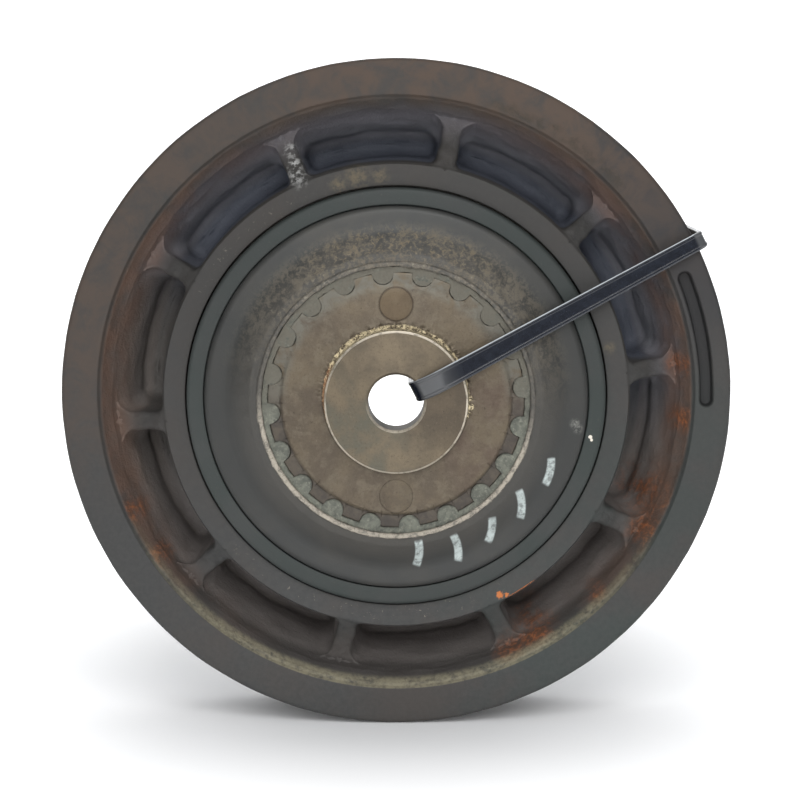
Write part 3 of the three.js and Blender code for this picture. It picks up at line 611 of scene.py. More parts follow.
def plate_steel():
    """The dished plate: satin grey outside, dusty towards its collar, with dabs of white paint."""
    f = Finish("plate_steel")
    fine = f.noise(1.4, 5, 0.65)
    broad = f.noise(18, 4, 0.55, 0.4, seed=1)
    blotch = f.noise(5, 6, 0.75, 0.8, seed=4)
    grains = f.noise(1.5, 5, 0.75, 0.8, seed=15)
    inner = f.radius.step(53.5, 46)
    f.colour = f.mix(broad.step(0.35, 0.7), (56, 57, 56), (66, 65, 62))
    # painted shade: the left and right sides darker
    f.coat(f.toward(-90, 60) | f.toward(90, 60), (48, 49, 48), 0.6)
    f.coat(inner, (80, 77, 72), 0.5)
    crust = f.toward(6, 100) * f.radius.step(56.5, 50) * (blotch * 0.45 + grains * 0.55).step(0.44, 0.56)
    f.coat(crust, (112, 104, 90), 0.62)
    f.coat(f.toward(2, 45) * f.band(45, 52.5, 2) * grains.step(0.5, 0.62), (130, 114, 86), 0.35)
    arcs = (f.turning(3, seed=3) * 0.5 + grains * 0.9).step(0.72, 0.9)
    arcs = arcs * f.noise(7, 3, 0.6, seed=16).step(0.4, 0.6)
    f.coat(f.toward(0, 100) * f.band(41.4, 47, 1.2) * arcs, (150, 146, 132), 0.8)
    # the bead round the collar: dust, with a painted highlight that is brightest on the lower side, where it
    # faces up
    below = f.toward(185, 100).step(0, 0.4).scaled(0.08, 1)
    off = abs(f.radius + f.noise(3, 4, 0.7, seed=17).scaled(-43, -41.2))
    bead = off.step(1.05, 0.6) * below * grains.step(0.38, 0.56).scaled(0.3, 1)
    f.coat(bead, (178, 170, 156), 0.9)
    smear = f.spots([(99.5, 57.2, 2.2), (98, 56, 2.2)]) * grains.step(0.4, 0.6)
    f.coat(smear, (140, 140, 134), 0.7)
    paint = paint_dabs(f)
    f.coat(paint, (186, 196, 194))
    f.bump((f.turning(0.7), 0.02), (fine, 0.06), (blotch * inner, 0.3), (paint, 0.08))
    return f.brushed(0.5, roughness=broad.scaled(0.4, 0.52) + (crust | bead) * 0.3, specular_ior_level=0.35,
                     metallic=(crust | paint).scaled(0.25, 0))


PAINT_DABS = [  # azimuth and radius of the middle, slant in degrees, length
    (171.5, 48.6, 4, 8.6),
    (157.5, 50.2, -10, 9.0),
    (144.0, 50.6, 8, 8.2),
    (130.0, 51.0, -4, 9.2),
    (115.5, 53.0, 12, 8.4),
]
PAINT_HALF_WIDTH = 1.5
PAINT_BEND = 15  # radius that each dab curves to


def paint_dabs(f):
    """A row of plain slanted dabs of a paint pen on the plate, worn thin in places."""
    mask = 0
    for azimuth, radius, slant, length in PAINT_DABS:
        axis = polar(1, 90 + slant, 0)
        centre = polar(radius, azimuth, 0) - PAINT_BEND * axis
        inputs = {0: f.flat, 1: centre.tolist()}
        offset = f.node("ShaderNodeVectorMath", inputs, operation="SUBTRACT").outputs[0]
        distance = f.measure("LENGTH", offset)
        along = f.measure("DOT_PRODUCT", offset, axis.tolist())
        line = abs(distance - PAINT_BEND).step(PAINT_HALF_WIDTH, PAINT_HALF_WIDTH * 0.6)
        half = length / 2 / PAINT_BEND
        run = (along / (distance | 0.1)).step(math.cos(half + 0.04), math.cos(half - 0.04))
        mask = line * run | mask
    worn = f.noise(2, 5, 0.75, seed=12).step(0.36, 0.56)
    return mask * worn.scaled(0.3, 0.92)


def hub_steel():
    """The hub: brown-grey tarnished steel, smoother on the boss, with a crust of rust round it."""
    f = Finish("hub_steel")
    fine = f.noise(1, 5, 0.7)
    broad = f.noise(11, 4, 0.6, 0.3, seed=1)
    mottle = f.noise(4, 6, 0.7, 0.5, seed=2)
    speckle = f.noise(0.8, 4, 0.8, seed=11)
    on_boss = f.radius.step(22.6, 22.2)
    boss = f.mix(broad.step(0.35, 0.68), (80, 72, 60), (104, 93, 76))
    boss = f.mix(f.toward(230, 85) * broad.step(0.65, 0.35) * 0.55, boss, (88, 90, 80))
    # painted shade: the boss darker on its right side
    boss = f.mix(f.toward(90, 55) * 0.5, boss, (72, 63, 53))
    f.colour = f.mix(broad.step(0.36, 0.64), (80, 71, 60), (95, 85, 70))
    f.coat(mottle.step(0.45, 0.62), (102, 94, 80), 0.5)
    f.coat(f.toward(105, 50) * broad.step(0.6, 0.4), (80, 62, 55), 0.4)
    f.coat(on_boss, boss)
    f.coat(speckle.step(0.55, 0.72), (128, 118, 102), 0.35)
    f.coat(speckle.step(0.47, 0.34), (60, 52, 44), 0.5)

    bare = f.toward(180, 115).step(0, 0.4).scaled(0.08, 1)
    teeth = f.radius.step(35.2, 35.8) * bare
    f.coat(teeth, f.mix(mottle.step(0.4, 0.6), (40, 35, 30), (66, 58, 48)), 0.8)
    f.coat(f.radius.step(32.5, 36.5) * ~bare * mottle.step(0.32, 0.58), (95, 93, 85))
    specks = f.noise(1.3, 4, 0.75, seed=6).step(0.62, 0.7)
    f.coat(specks, (56, 47, 40), 0.6)

    crumbs = f.noise(1.1, 4, 0.8, 0.5, seed=8)
    above = f.toward(-10, 150)
    reach = f.toward(-14, 100) * 1.1 + f.noise(4, 3, 0.7, seed=13) * 2.4
    crust = f.radius.step(21.9, 22.2) * (reach + 21.5 - f.radius).step(0, 0.5)
    crust = crust * above.step(0.05, 0.3) * (crumbs + above * 0.14).step(0.4, 0.5)
    flakes = f.spots([(88, 22.9, 1.3), (95, 23.1, 1.5), (101, 22.8, 1.2)]) * crumbs.step(0.46, 0.54)
    crust = crust | flakes.step(0.1, 0.3)
    shades = f.mix(crumbs.step(0.42, 0.58), (72, 60, 44), (222, 206, 168))
    shades = f.mix(f.toward(-86, 30) * fine.step(0.3, 0.6) * 0.7, shades, (160, 98, 52))
    f.coat(crust, shades, 0.9)

    # painted highlight: a thin bright line on the boss's chamfer, strongest at the top, and on the lower side
    # of the bore's chamfer
    edge = f.band(21.45, 22.1, 0.08) | f.band(8.6, 9.3, 0.08) * f.z.step(3, -5)
    edge = edge * f.y.step(-87, -87.2) * f.noise(2.5, 4, 0.7, seed=19).step(0.35, 0.55).scaled(0.4, 1)
    f.coat(edge * f.toward(22, 110).scaled(0.55, 1), (232, 221, 202))
    upper_plug = f.spots([(0, PLUG_CIRCLE_RADIUS, 2 * PLUG_RADIUS)])
    f.coat(upper_plug.step(0.44, 0.56), (88, 72, 50), 0.45)
    f.coat(plug_gaps(f) * (f.z + f.x * 0.5).step(-10, 10).scaled(0.1, 1), (58, 48, 38), 0.5)
    f.bump((f.turning(0.35), 0.01), (fine, 0.06), (speckle * ~on_boss, 0.06), (crust * crumbs, 0.5))
    roughness = broad.scaled(0.36, 0.5) + (crust + specks * 0.5) * 0.3
    return f.brushed(0.4, roughness=roughness, metallic=crust.scaled(0.6, 0) * teeth.scaled(1, 0.3))


def plug_gaps(f):
    """1 in a thin ring round either of the hub's flush plugs."""
    upper, lower = (abs(f.away(azimuth, PLUG_CIRCLE_RADIUS) - PLUG_RADIUS) for azimuth in (0, 180))
    return upper.step(0.5, 0.2) | lower.step(0.5, 0.2)


def aged_rubber():
    """The rubber ring: matt and greyed with dust."""
    f = Finish("aged_rubber")
    fine = f.noise(0.9, 4, 0.7)
    dirt = f.noise(3.5, 6, 0.7, 0.6, seed=1)
    f.colour = f.mix(dirt.step(0.35, 0.65), (84, 86, 80), (112, 114, 104))
    f.coat(fine.step(0.5, 0.68), (148, 147, 134), 0.5)
    f.coat(~f.toward(180, 115).step(0, 0.4) * dirt.step(0.3, 0.52), (98, 95, 86))
    f.bump((fine, 0.12), (dirt, 0.35))
    return f.done(roughness=0.9, specular_ior_level=0.3)


def black_rubber():
    f = Finish("black_rubber")
    fine = f.noise(0.8, 3, 0.6)
    f.colour = f.mix(fine.step(0.4, 0.7), (26, 26, 26), (46, 45, 43))
    f.bump((fine, 0.05))
    return f.done(roughness=fine.scaled(0.6, 0.85))


def machined(name, dark, light, roughness, dirt):
    """Turned bare or plated metal with circular marks and a little staining."""
    f = Finish(name)
    broad = f.noise(12)
    fine = f.noise(1.2, 4, 0.7, seed=3)
    f.colour = f.mix(broad.step(0.3, 0.7), dark, light)
    stain = (broad * 0.5 + fine * 0.5).step(0.52, 0.66)
    f.coat(stain, DARK_RUST, dirt)
    f.bump((f.turning(0.4), 0.04), (fine, 0.04))
    return f.done(roughness=fine.scaled(roughness - 0.08, roughness + 0.12),
                  metallic=stain.scaled(0.9, 0.9 - dirt))


def coated(name, dark, light, roughness):
    """Painted, phosphated or moulded surfaces: fine grain with soft mottling."""
    f = Finish(name)
    fine = f.noise(0.9, 4, 0.65)
    f.colour = f.mix(f.noise(10, seed=2).step(0.3, 0.7), dark, light)
    f.bump((fine, 0.06))
    return f.done(roughness=fine.scaled(roughness - 0.1, roughness + 0.1))


WIRE_PITCH = 0.9


def winding_copper():
    """Enamelled wire: fine turns side by side along the coil."""
    f = Finish("copper_wire")
    fine = f.noise(1.5, 3, 0.6)
    f.colour = f.mix(fine.step(0.3, 0.7), (134, 74, 42), (176, 106, 62))
    f.bump(((f.y * (2 * math.pi / WIRE_PITCH)).calculated("SINE"), 0.2))
    return f.done(roughness=fine.scaled(0.25, 0.45), metallic=0.85)


def black_nylon():
    """The tie: glossy blue-black nylon, with painted highlights on its edges and bends."""
    f = Finish("black_nylon")
    fine = f.noise(2.4, 3, 0.6)
    f.colour = f.mix(fine.step(0.3, 0.7), (21, 24, 32), (28, 32, 41))
    half_width = (f.radius * (1 / STRAP_REACH)).scaled(STRAP_WIDTHS[0] / 2, STRAP_WIDTHS[1] / 2)
    across = f.along(TIE_AZIMUTH + 90) / half_width
    front = f.y.step(-60, -66)
    # painted highlights: a bright line along the upper edge and a grey one along the lower edge
    f.coat(across.step(-0.88, -0.94) * front * fine.scaled(0.6, 1), (214, 220, 224))
    f.coat(across.step(0.92, 0.98) * front, (90, 94, 98), 0.6)
    # painted highlights where the strap bends into the bore and over the rim
    bend_highlights = f.radius.step(24, 12) * f.radius.step(7.4, 8.6) | f.band(105, 107.2, 0.6)
    f.coat(bend_highlights * front, (84, 85, 86), 0.75)
    f.bump((f.noise(3, 2, 0.5, seed=3), 0.01))
    return f.done(roughness=fine.scaled(0.12, 0.2), specular_ior_level=0.5)


# -------- pulley

EDGE_STEPS = 14  # along a pocket's inner or outer wall
SIDE_STEPS = 12  # along a spoke
CORNER_STEPS = 6  # round a pocket's corner
SECTOR_INNER = 71.4  # the sectors with the pockets lie between these radii
SECTOR_OUTER = 88.9
HALF_SECTOR = math.pi / SPOKE_COUNT
WEB_FRONT = ([71, 72.3, 72.6, 73.2, 87.9, 88.3, 88.9], [-73, -73, -72.6, -71.4, -60.9, -61.1, -62.3])
EDGE_RADII = ([72.4, 75, 84, 87.6], [0.7, 1.5, 1.4, 0.2])  # of the pockets' mouths, by radius
POCKET_TOP = np.array([73.0, 88.2, 2.9])  # inner radius, outer radius, half the spoke's width
POCKET_BOTTOM = np.array([73.9, 82.0, 3.8])
POCKET_FLARE = np.array([-0.7, 0.4, -1.5])  # what the mouth's rounded edge adds
POCKET_CORNERS = np.array([3.2, 3.4])  # radii of the inner and outer corners
CORNER_FLARE = np.array([1.4, 1.2])
POCKET_FILLET = 3.7  # round the floor


def pocket_loop(inner, outer, half_width, inner_corner, outer_corner):
    """Points round a pocket in unrolled (arc length, radius), from its outer left corner on."""
    reach = [HALF_SECTOR * outer - half_width, HALF_SECTOR * inner - half_width]
    corners = np.array([(-reach[0], outer), (reach[0], outer), (reach[1], inner), (-reach[1], inner)])
    radii = [outer_corner, outer_corner, inner_corner, inner_corner]
    arcs = [corner_arc(corners[i - 1], corners[i], corners[(i + 1) % 4], radii[i], CORNER_STEPS)
            for i in range(4)]
    loop = []
    for i, steps in enumerate([EDGE_STEPS, SIDE_STEPS, EDGE_STEPS, SIDE_STEPS]):
        start, end = arcs[i][-1], arcs[(i + 1) % 4][0]
        loop += [arcs[i], start + (end - start) * (np.arange(1, steps) / steps)[:, None]]
    return np.concatenate(loop)


def sector_loop():
    """The sector's own edge with as many points, in step with the pocket's loops."""
    edge = np.linspace(-1, 1, EDGE_STEPS + CORNER_STEPS + 1)[:-1] * HALF_SECTOR
    side = 1 - (1 - np.linspace(0, 1, SIDE_STEPS + CORNER_STEPS + 1)[:-1]) ** 1.5
    falling = SECTOR_OUTER + (SECTOR_INNER - SECTOR_OUTER) * side
    rising = SECTOR_INNER + (SECTOR_OUTER - SECTOR_INNER) * (1 - np.append(side, 1.0)[:0:-1])
    parts = [
        np.stack([edge * SECTOR_OUTER, np.full_like(edge, SECTOR_OUTER)], axis=1),
        np.stack([falling * HALF_SECTOR, falling], axis=1),
        np.stack([-edge * SECTOR_INNER, np.full_like(edge, SECTOR_INNER)], axis=1),
        np.stack([-rising * HALF_SECTOR, rising], axis=1),
    ]
    return np.roll(np.concatenate(parts), CORNER_STEPS // 2, axis=0)


def pocket_sector():
    """One tenth of the spoked web's front: loops from the sector's edge down to the pocket's floor."""
    front = lambda loop: np.interp(loop[:, 1], *WEB_FRONT)
    mouth = lambda out: pocket_loop(*(POCKET_TOP + POCKET_FLARE * out), *(POCKET_CORNERS + CORNER_FLARE * out))
    edge, widest = sector_loop(), mouth(1)
    levels = []
    for share in (0, 0.3, 0.6, 0.85):
        loop = edge + (widest - edge) * share
        levels.append((loop, front(loop)))
    for angle in np.radians([0, 22, 45, 67, 90]):
        loop = mouth(1 - math.sin(angle))
        drop = np.interp(loop[:, 1], *EDGE_RADII) * (1 - math.cos(angle))
        levels.append((loop, front(loop) + drop))
    top = levels[-1][1]
    for share in np.linspace(0, 1, 17)[1:]:
        hollow = np.array([share, 1 - (1 - share) ** 1.8, share])
        loop = pocket_loop(*(POCKET_TOP + (POCKET_BOTTOM - POCKET_TOP) * hollow), *POCKET_CORNERS)
        levels.append((loop, top + (POCKET_FLOOR - POCKET_FILLET - top) * share))
    for angle in np.radians([15, 30, 45, 60, 75, 90]):
        inset = POCKET_FILLET * (1 - math.cos(angle))
        floor = POCKET_BOTTOM + np.array([inset, -inset, inset])
        loop = pocket_loop(*floor, *(POCKET_CORNERS * (1 - inset / 4)))
        levels.append((loop, np.full(len(loop), POCKET_FLOOR - POCKET_FILLET * (1 - math.sin(angle)))))
    centre = np.array([0, POCKET_BOTTOM[:2].mean()])
    for share in (0.66, 0.33, 0.05):
        levels.append((centre + (loop - centre) * share, np.full(len(loop), POCKET_FLOOR)))
    loops = [polar(l[:, 1], np.degrees(l[:, 0] / l[:, 1]), y) for l, y in levels]
    vertices, faces = skin(loops)
    last = (len(loops) - 1) * len(loop)
    return vertices, faces + [tuple(range(last, last + len(loop)))]


def groove_corners(middle):
    floor_half = GROOVE_TOP / 2 - GROOVE_DEPTH * math.tan(GROOVE_SIDE)
    floor_radius = RIM_RADIUS - GROOVE_DEPTH
    return [
        (RIM_RADIUS, middle + GROOVE_TOP / 2, 0.5),
        (floor_radius, middle + floor_half, 1.2),
        (floor_radius, middle - floor_half, 1.2),
        (RIM_RADIUS, middle - GROOVE_TOP / 2, 0.5),
    ]


def rim_and_ring():
    """The turned rest of the pulley, from the sectors' inner edge round the back to their outer edge."""
    corners = [
        (SECTOR_INNER, RING_FRONT), (RING_INNER_RADIUS, RING_FRONT, 0.4),
        (RING_INNER_RADIUS, RING_REAR, 0.6), (RING_OUTER_RADIUS, RING_REAR, 1.0),
        (75, WEB_REAR, 2.0), (90, WEB_REAR, 2.2), (93, RIM_REAR, 1.0),
        (RIM_RADIUS, RIM_REAR, 1.3), *groove_corners(GROOVE_MIDDLES[1]),
        *groove_corners(GROOVE_MIDDLES[0]),
        (RIM_RADIUS, RIM_FRONT, 1.3), (RIM_INNER_RADIUS, RIM_FRONT, 0.6),
        (89.4, -63.4, 2.0), (SECTOR_OUTER, WEB_FRONT[1][-1]),
    ]
    outline = dense(rounded(corners), 1.6, closed=False)
    count = SPOKE_COUNT * (EDGE_STEPS + CORNER_STEPS)
    azimuths = SPOKE_START + np.arange(count) * 360 / count
    return skin([polar(radius, azimuths, y) for radius, y in outline])


def arc_slot(radius, half_width, start, end, levels):
    """A closed arc-shaped cutter with round ends; each level is (growth, y)."""
    loops = []
    for growth, y in levels:
        reach = half_width + growth
        sweep = np.linspace(start, end, 24)
        cap = np.linspace(0, 180, 13)[1:-1]
        bulge = np.degrees(reach / radius) * np.sin(np.radians(cap))
        step_in = reach * np.cos(np.radians(cap))
        azimuths = np.concatenate([sweep, end + bulge, sweep[::-1], start - bulge])
        radii = np.concatenate([np.full(24, radius + reach), radius + step_in,
                                np.full(24, radius - reach), radius - step_in])
        loops.append(polar(radii, azimuths, y))
    return skin(loops, cap=True)


def balance_slot():
    return arc_slot(97.1, 2.0, 67.8, 90.8, [
        (0.8, RIM_FRONT - 1), (0.5, RIM_FRONT), (0.15, RIM_FRONT + 0.25), (0, RIM_FRONT + 0.6),
        (-0.1, RIM_FRONT + 2.2), (-0.5, RIM_FRONT + 2.8), (-1.1, RIM_FRONT + 3)])


def cast_share(radius, y, z):
    """1 on the pulley's rough cast faces, 0 on its machined ones."""
    pockets = step(radius, 73.1, 74.2) * step(radius, 93.2, 91.5) * step(y, -72.0, -70.0)
    rear = step(radius, 73.8, 75.5) * step(radius, 91.8, 90.0) * step(y, -33.0, -30.5)
    return np.maximum(pockets, rear)


def make_pulley():
    sector = pocket_sector()
    half = 180 / SPOKE_COUNT
    sectors = [placed(sector, SPOKE_START + half + i * 2 * half, 0) for i in range(SPOKE_COUNT)]
    piece = mesh_object("pulley_casting", joined(rim_and_ring(), *sectors))
    carve(piece, balance_slot())
    roughen(piece, 0.55, 7, cast_share)
    roughen(piece, 0.12, 9, lambda radius, y, z: step(radius, 93, 95) * step(y, -66, -68), seed=3)
    finished(piece, cast_iron(), "pulley_unit", "cast_iron", "pulley")


# -------- armature and hub

FLUX_HALF_WIDTH = 1.3  # of the slots that steer the magnetic flux, in the armature and the rotor


def dusty_share(radius, y, z):
    """1 on the plate's inner slope above, 0.4 on it below."""
    return step(radius, 53, 47) * step(y, -75, -77) * (0.4 + 0.6 * step(z, -20, 30))


def crusty_share(radius, y, z):
    """1 at the foot of the boss on the hub's upper side."""
    foot = step(radius, 22.35, 22.8) * step(radius, 24.9, 23.2) * step(y, -86.4, -84.8)
    return foot * step(z, -8, 6)


def make_armature():
    piece = lathe("armature_ring", [
        (ARMATURE_INNER_RADIUS, ARMATURE_REAR),
        (ARMATURE_RADIUS, ARMATURE_REAR, 0.4),
        (ARMATURE_RADIUS, ARMATURE_FRONT, 1.3),
        (PLATE_RADIUS + GAP, ARMATURE_FRONT, 0.4),
        (PLATE_RADIUS + GAP, PLATE_REAR + GAP),
        (ARMATURE_INNER_RADIUS, PLATE_REAR + GAP),
    ], 6, 1.5, 240)
    through = [(0, ARMATURE_REAR + 1), (0, PLATE_REAR - 1)]
    carve(piece, *[arc_slot(53.9, FLUX_HALF_WIDTH, i * 90 + 9, i * 90 + 81, through) for i in range(4)])
    finished(piece, armature_steel(), "armature_unit", "armature_steel", "armature_disc")

    piece = lathe("dished_plate", [
        (PLATE_RADIUS, PLATE_REAR), (PLATE_RADIUS, PLATE_FRONT, 1.9),
        (52.5, PLATE_FRONT, 6), (45.4, -82.2, 2.4), (43.1, -82.7, 0.5),
        (42.7, COLLAR_FRONT, 0.5), (COLLAR_RADIUS, COLLAR_FRONT, 0.6),
        (COLLAR_RADIUS, PLATE_REAR),
    ], 8, 0.8, 300)
    roughen(piece, 0.3, 4, dusty_share)
    finished(piece, plate_steel(), "armature_unit", "armature_steel", "armature_plate")


AZIMUTHS = np.arange(960) * 0.375  # round the toothed pieces


def row(radius, y):
    """A row of points round a toothed piece."""
    return polar(radius, AZIMUTHS, y)


def tooth_radius():
    """The hub's outer radius: flat crowns, with a round notch for each of the rubber's lobes."""
    pitch = 360 / TOOTH_COUNT
    from_lobe = np.radians(np.abs((AZIMUTHS - TOOTH_START) % pitch - pitch / 2))
    aside = np.minimum(LOBE_CIRCLE_RADIUS * np.sin(from_lobe), LOBE_RADIUS)
    notch = LOBE_CIRCLE_RADIUS * np.cos(from_lobe) - np.sqrt(LOBE_RADIUS ** 2 - aside ** 2)
    return np.where(aside < LOBE_RADIUS, notch, TOOTH_TIP_RADIUS)


def worn_lower():
    """1 on the hub's sides and below, where its edge is bare, down to 0.2 under the caked dirt above."""
    return 0.2 + 0.8 * step(np.cos(np.radians(AZIMUTHS)), 0.55, -0.05)


def hub_loops():
    """Loops round the hub from its bolt land forward, over the boss and teeth, and back along the barrel."""
    teeth = tooth_radius()
    flat_start = 25.5  # the radius where the flange's face begins, past the fillet round the boss
    boss = dense(rounded([
        (BOLT_HOLE_RADIUS, BOLT_LAND_REAR), (BOLT_HOLE_RADIUS, BOSS_FRONT + 0.7),
        (BOLT_HOLE_RADIUS + 0.7, BOSS_FRONT, 0.1),
        (BOSS_RADIUS - 0.6, BOSS_FRONT, 0.1), (BOSS_RADIUS, BOSS_FRONT + 0.6, 0.1),
        (BOSS_RADIUS + 0.4, HUB_FLANGE_FRONT, 0.9), (flat_start, HUB_FLANGE_FRONT),
    ], 5), 0.45)
    boss = boss[: np.argmax(boss[:, 0] >= flat_start - 0.1) + 1]
    loops = [row(radius, y) for radius, y in boss]
    recess = 0.7 * worn_lower()
    for share in np.linspace(0, 1, 26)[1:]:
        radius = flat_start + (teeth - 0.3 - flat_start) * share
        loops.append(row(radius, HUB_FLANGE_FRONT + recess * step(radius, *TOOTH_FEET)))
    for angle in np.radians([30, 60, 90]):
        foot = HUB_FLANGE_FRONT + recess * step(teeth, *TOOTH_FEET)
        loops.append(row(teeth - 0.3 * (1 - math.sin(angle)), foot + 0.3 * (1 - math.cos(angle))))
    rear = [(teeth, HUB_FLANGE_REAR - 0.4), (teeth - 0.4, HUB_FLANGE_REAR), (22.5, HUB_FLANGE_REAR),
            (20, -72.8), (20, HUB_REAR - 0.8), (19.2, HUB_REAR), (15.2, HUB_REAR), (14.6, -46),
            (12.6, BOLT_LAND_REAR)]
    return loops + [row(radius, y) for radius, y in rear]


def make_hub():
    piece = mesh_object("toothed_hub", skin(hub_loops(), close=True))
    hole_radius = PLUG_RADIUS + 0.04
    plug_hole = rod([(hole_radius, HUB_FLANGE_FRONT - 2), (hole_radius, HUB_FLANGE_FRONT + 6)])
    keyway = skin([np.array([(-3, y, 10), (3, y, 10), (3, y, 16.6), (-3, y, 16.6)])
                   for y in (BOLT_LAND_REAR - 0.5, HUB_REAR + 1)], cap=True)
    roughen(piece, 0.5, 1.7, crusty_share, 4)
    roughen(piece, 0.08, 6, lambda radius, y, z: step(radius, 23, 25) * step(y, -80, -82), 5)
    carve(piece, placed(plug_hole, 0, PLUG_CIRCLE_RADIUS), placed(plug_hole, 180, PLUG_CIRCLE_RADIUS), keyway)
    steel = hub_steel()
    finished(piece, steel, "hub_unit", "hub_steel", "hub")
    for i in range(2):
        plug = rod([(0.4, HUB_FLANGE_FRONT - 0.02), (3.5, HUB_FLANGE_FRONT + 0.02),
                    (PLUG_RADIUS, HUB_FLANGE_FRONT + 0.04, 0.08), (PLUG_RADIUS, HUB_FLANGE_FRONT + 5.7)])
        piece = mesh_object(f"flush_plug_{i + 1}", placed(plug, i * 180, PLUG_CIRCLE_RADIUS))
        finished(piece, steel, "hub_unit", "hub_steel", f"hub_plug_{i + 1}")


def make_rubber():
    inner = tooth_radius() + 0.06
    outer = COLLAR_RADIUS - 0.06
    front, rear = HUB_FLANGE_FRONT + 0.05, HUB_FLANGE_REAR - 0.3
    loops = [row(inner + 0.4, rear), row(inner, rear - 0.4), row(inner, (front + 1 + rear) / 2),
             row(inner, front + 1)]
    for share in np.linspace(0, 1, 15):
        radius = inner + (outer - inner) * share
        edge = np.clip((radius - inner) / 1.2, 0, 1)
        drop = 0.6 * (1 - np.sqrt(1 - (1 - edge) ** 2)) + 0.12 * step(share, 0.6, 1.0)
        loops.append(row(radius, front + drop * worn_lower()))
    loops += [row(outer, front + 1), row(outer, rear)]
    piece = mesh_object("rubber_lobes", skin(loops, close=True))
    roughen(piece, 0.3, 2.2, lambda radius, y, z: step(y, -81, -82), 6)
    finished(piece, aged_rubber(), "hub_unit", "aged_rubber", "rubber_ring")


# -------- rear and tie


def at_screws(shell):
    return [placed(shell, azimuth, SCREW_CIRCLE_RADIUS) for azimuth in SCREW_AZIMUTHS]


def make_carrier():
    piece = lathe("carrier_casting", [
        (CARRIER_BORE_RADIUS, CARRIER_FRONT, 0.5),
        (CARRIER_RADIUS, CARRIER_FRONT, 0.5), (CARRIER_RADIUS, -59.8),
        (CIRCLIP_RADIUS, -59.8), (CIRCLIP_RADIUS, -58), (CARRIER_RADIUS, -58),
        (CARRIER_RADIUS, BEARING_STOP), (28.5, BEARING_STOP, 0.5), (28.5, FLANGE_FRONT, 3),
        (FLANGE_RADIUS, FLANGE_FRONT, 0.5), (FLANGE_RADIUS, 0, 0.8),
        (CARRIER_BORE_RADIUS, 0, 0.8),
    ], 5, 2)
    hole = rod([(4.5, -10.5), (4.5, -0.6), (5.4, 0.3), (6, 1)])
    sink = rod([(2.8, -15), (2.8, -3.1), (6.4, 0.5)])
    carve(piece, *[placed(hole, 45 + 90 * i, HOLE_CIRCLE_RADIUS) for i in range(4)], *at_screws(sink))
    zinc = machined("zinc_steel", (150, 146, 132), (186, 182, 166), 0.38, 0.25)
    finished(piece, zinc, "carrier_unit", "zinc_steel", "bearing_carrier")
    socket_angles = np.arange(6) * 60
    socket = skin([polar(1.75, socket_angles, y) for y in (-2.4, 0.5)], cap=True)
    screw = rod([(0.3, -14), (2.2, -14), (2.5, -13.6), (2.5, -2.8), (5, -0.5), (5, -GAP), (0.3, -GAP)], 40)
    for i, (body, recess) in enumerate(zip(at_screws(screw), at_screws(socket))):
        piece = mesh_object(f"flat_head_screw_{i + 1}", body)
        carve(piece, recess)
        finished(piece, zinc, "carrier_unit", "zinc_steel", f"coil_screw_{i + 1}")


def make_coil():
    wall, floor = 3, COIL_REAR - 6
    piece = lathe("coil_shell", [
        (COIL_INNER_RADIUS, COIL_FRONT, 0.6),
        (COIL_INNER_RADIUS + wall, COIL_FRONT, 0.6),
        (COIL_INNER_RADIUS + wall, floor), (COIL_OUTER_RADIUS - wall, floor),
        (COIL_OUTER_RADIUS - wall, COIL_FRONT, 0.6),
        (COIL_OUTER_RADIUS, COIL_FRONT, 0.6), (COIL_OUTER_RADIUS, COIL_REAR, 1.0),
        (COIL_INNER_RADIUS, COIL_REAR, 1),
    ], 4, 2.5)
    hole = rod([(2.8, -17), (2.8, -8)])
    carve(piece, *at_screws(hole))
    dark = coated("coil_steel", (30, 30, 30), (46, 45, 43), 0.5)
    finished(piece, dark, "carrier_unit", "coil_steel", "coil_housing")


def make_gland():
    """The lead's rubber gland: a foot on the coil and four ribs that narrow upward."""
    base, top = COIL_OUTER_RADIUS + 0.4, COIL_OUTER_RADIUS + 10
    ribs = []
    for i in range(4):
        low, rib, neck = base + 4 + i * 1.35, 4.1 - i * 0.15, 3.5 - i * 0.1
        ribs += [(rib, low, 0.15), (rib, low + 0.8, 0.15), (neck, low + 0.95), (neck, low + 1.3)]
    corners = [(2.2, base + 1), (5, base), (5, base + 3, 0.6), *ribs, (3.1, top, 0.4), (2.2, top, 0.3)]
    outline = dense(rounded(corners, 3), 1)
    upright = Matrix.Translation((0, -16.4, 0)) @ Matrix.Rotation(math.radians(90), 4, "X")
    piece = mesh_object("ribbed_gland", moved(turned(outline, 36), upright))
    finished(piece, black_rubber(), "carrier_unit", "black_rubber", "lead_gland")


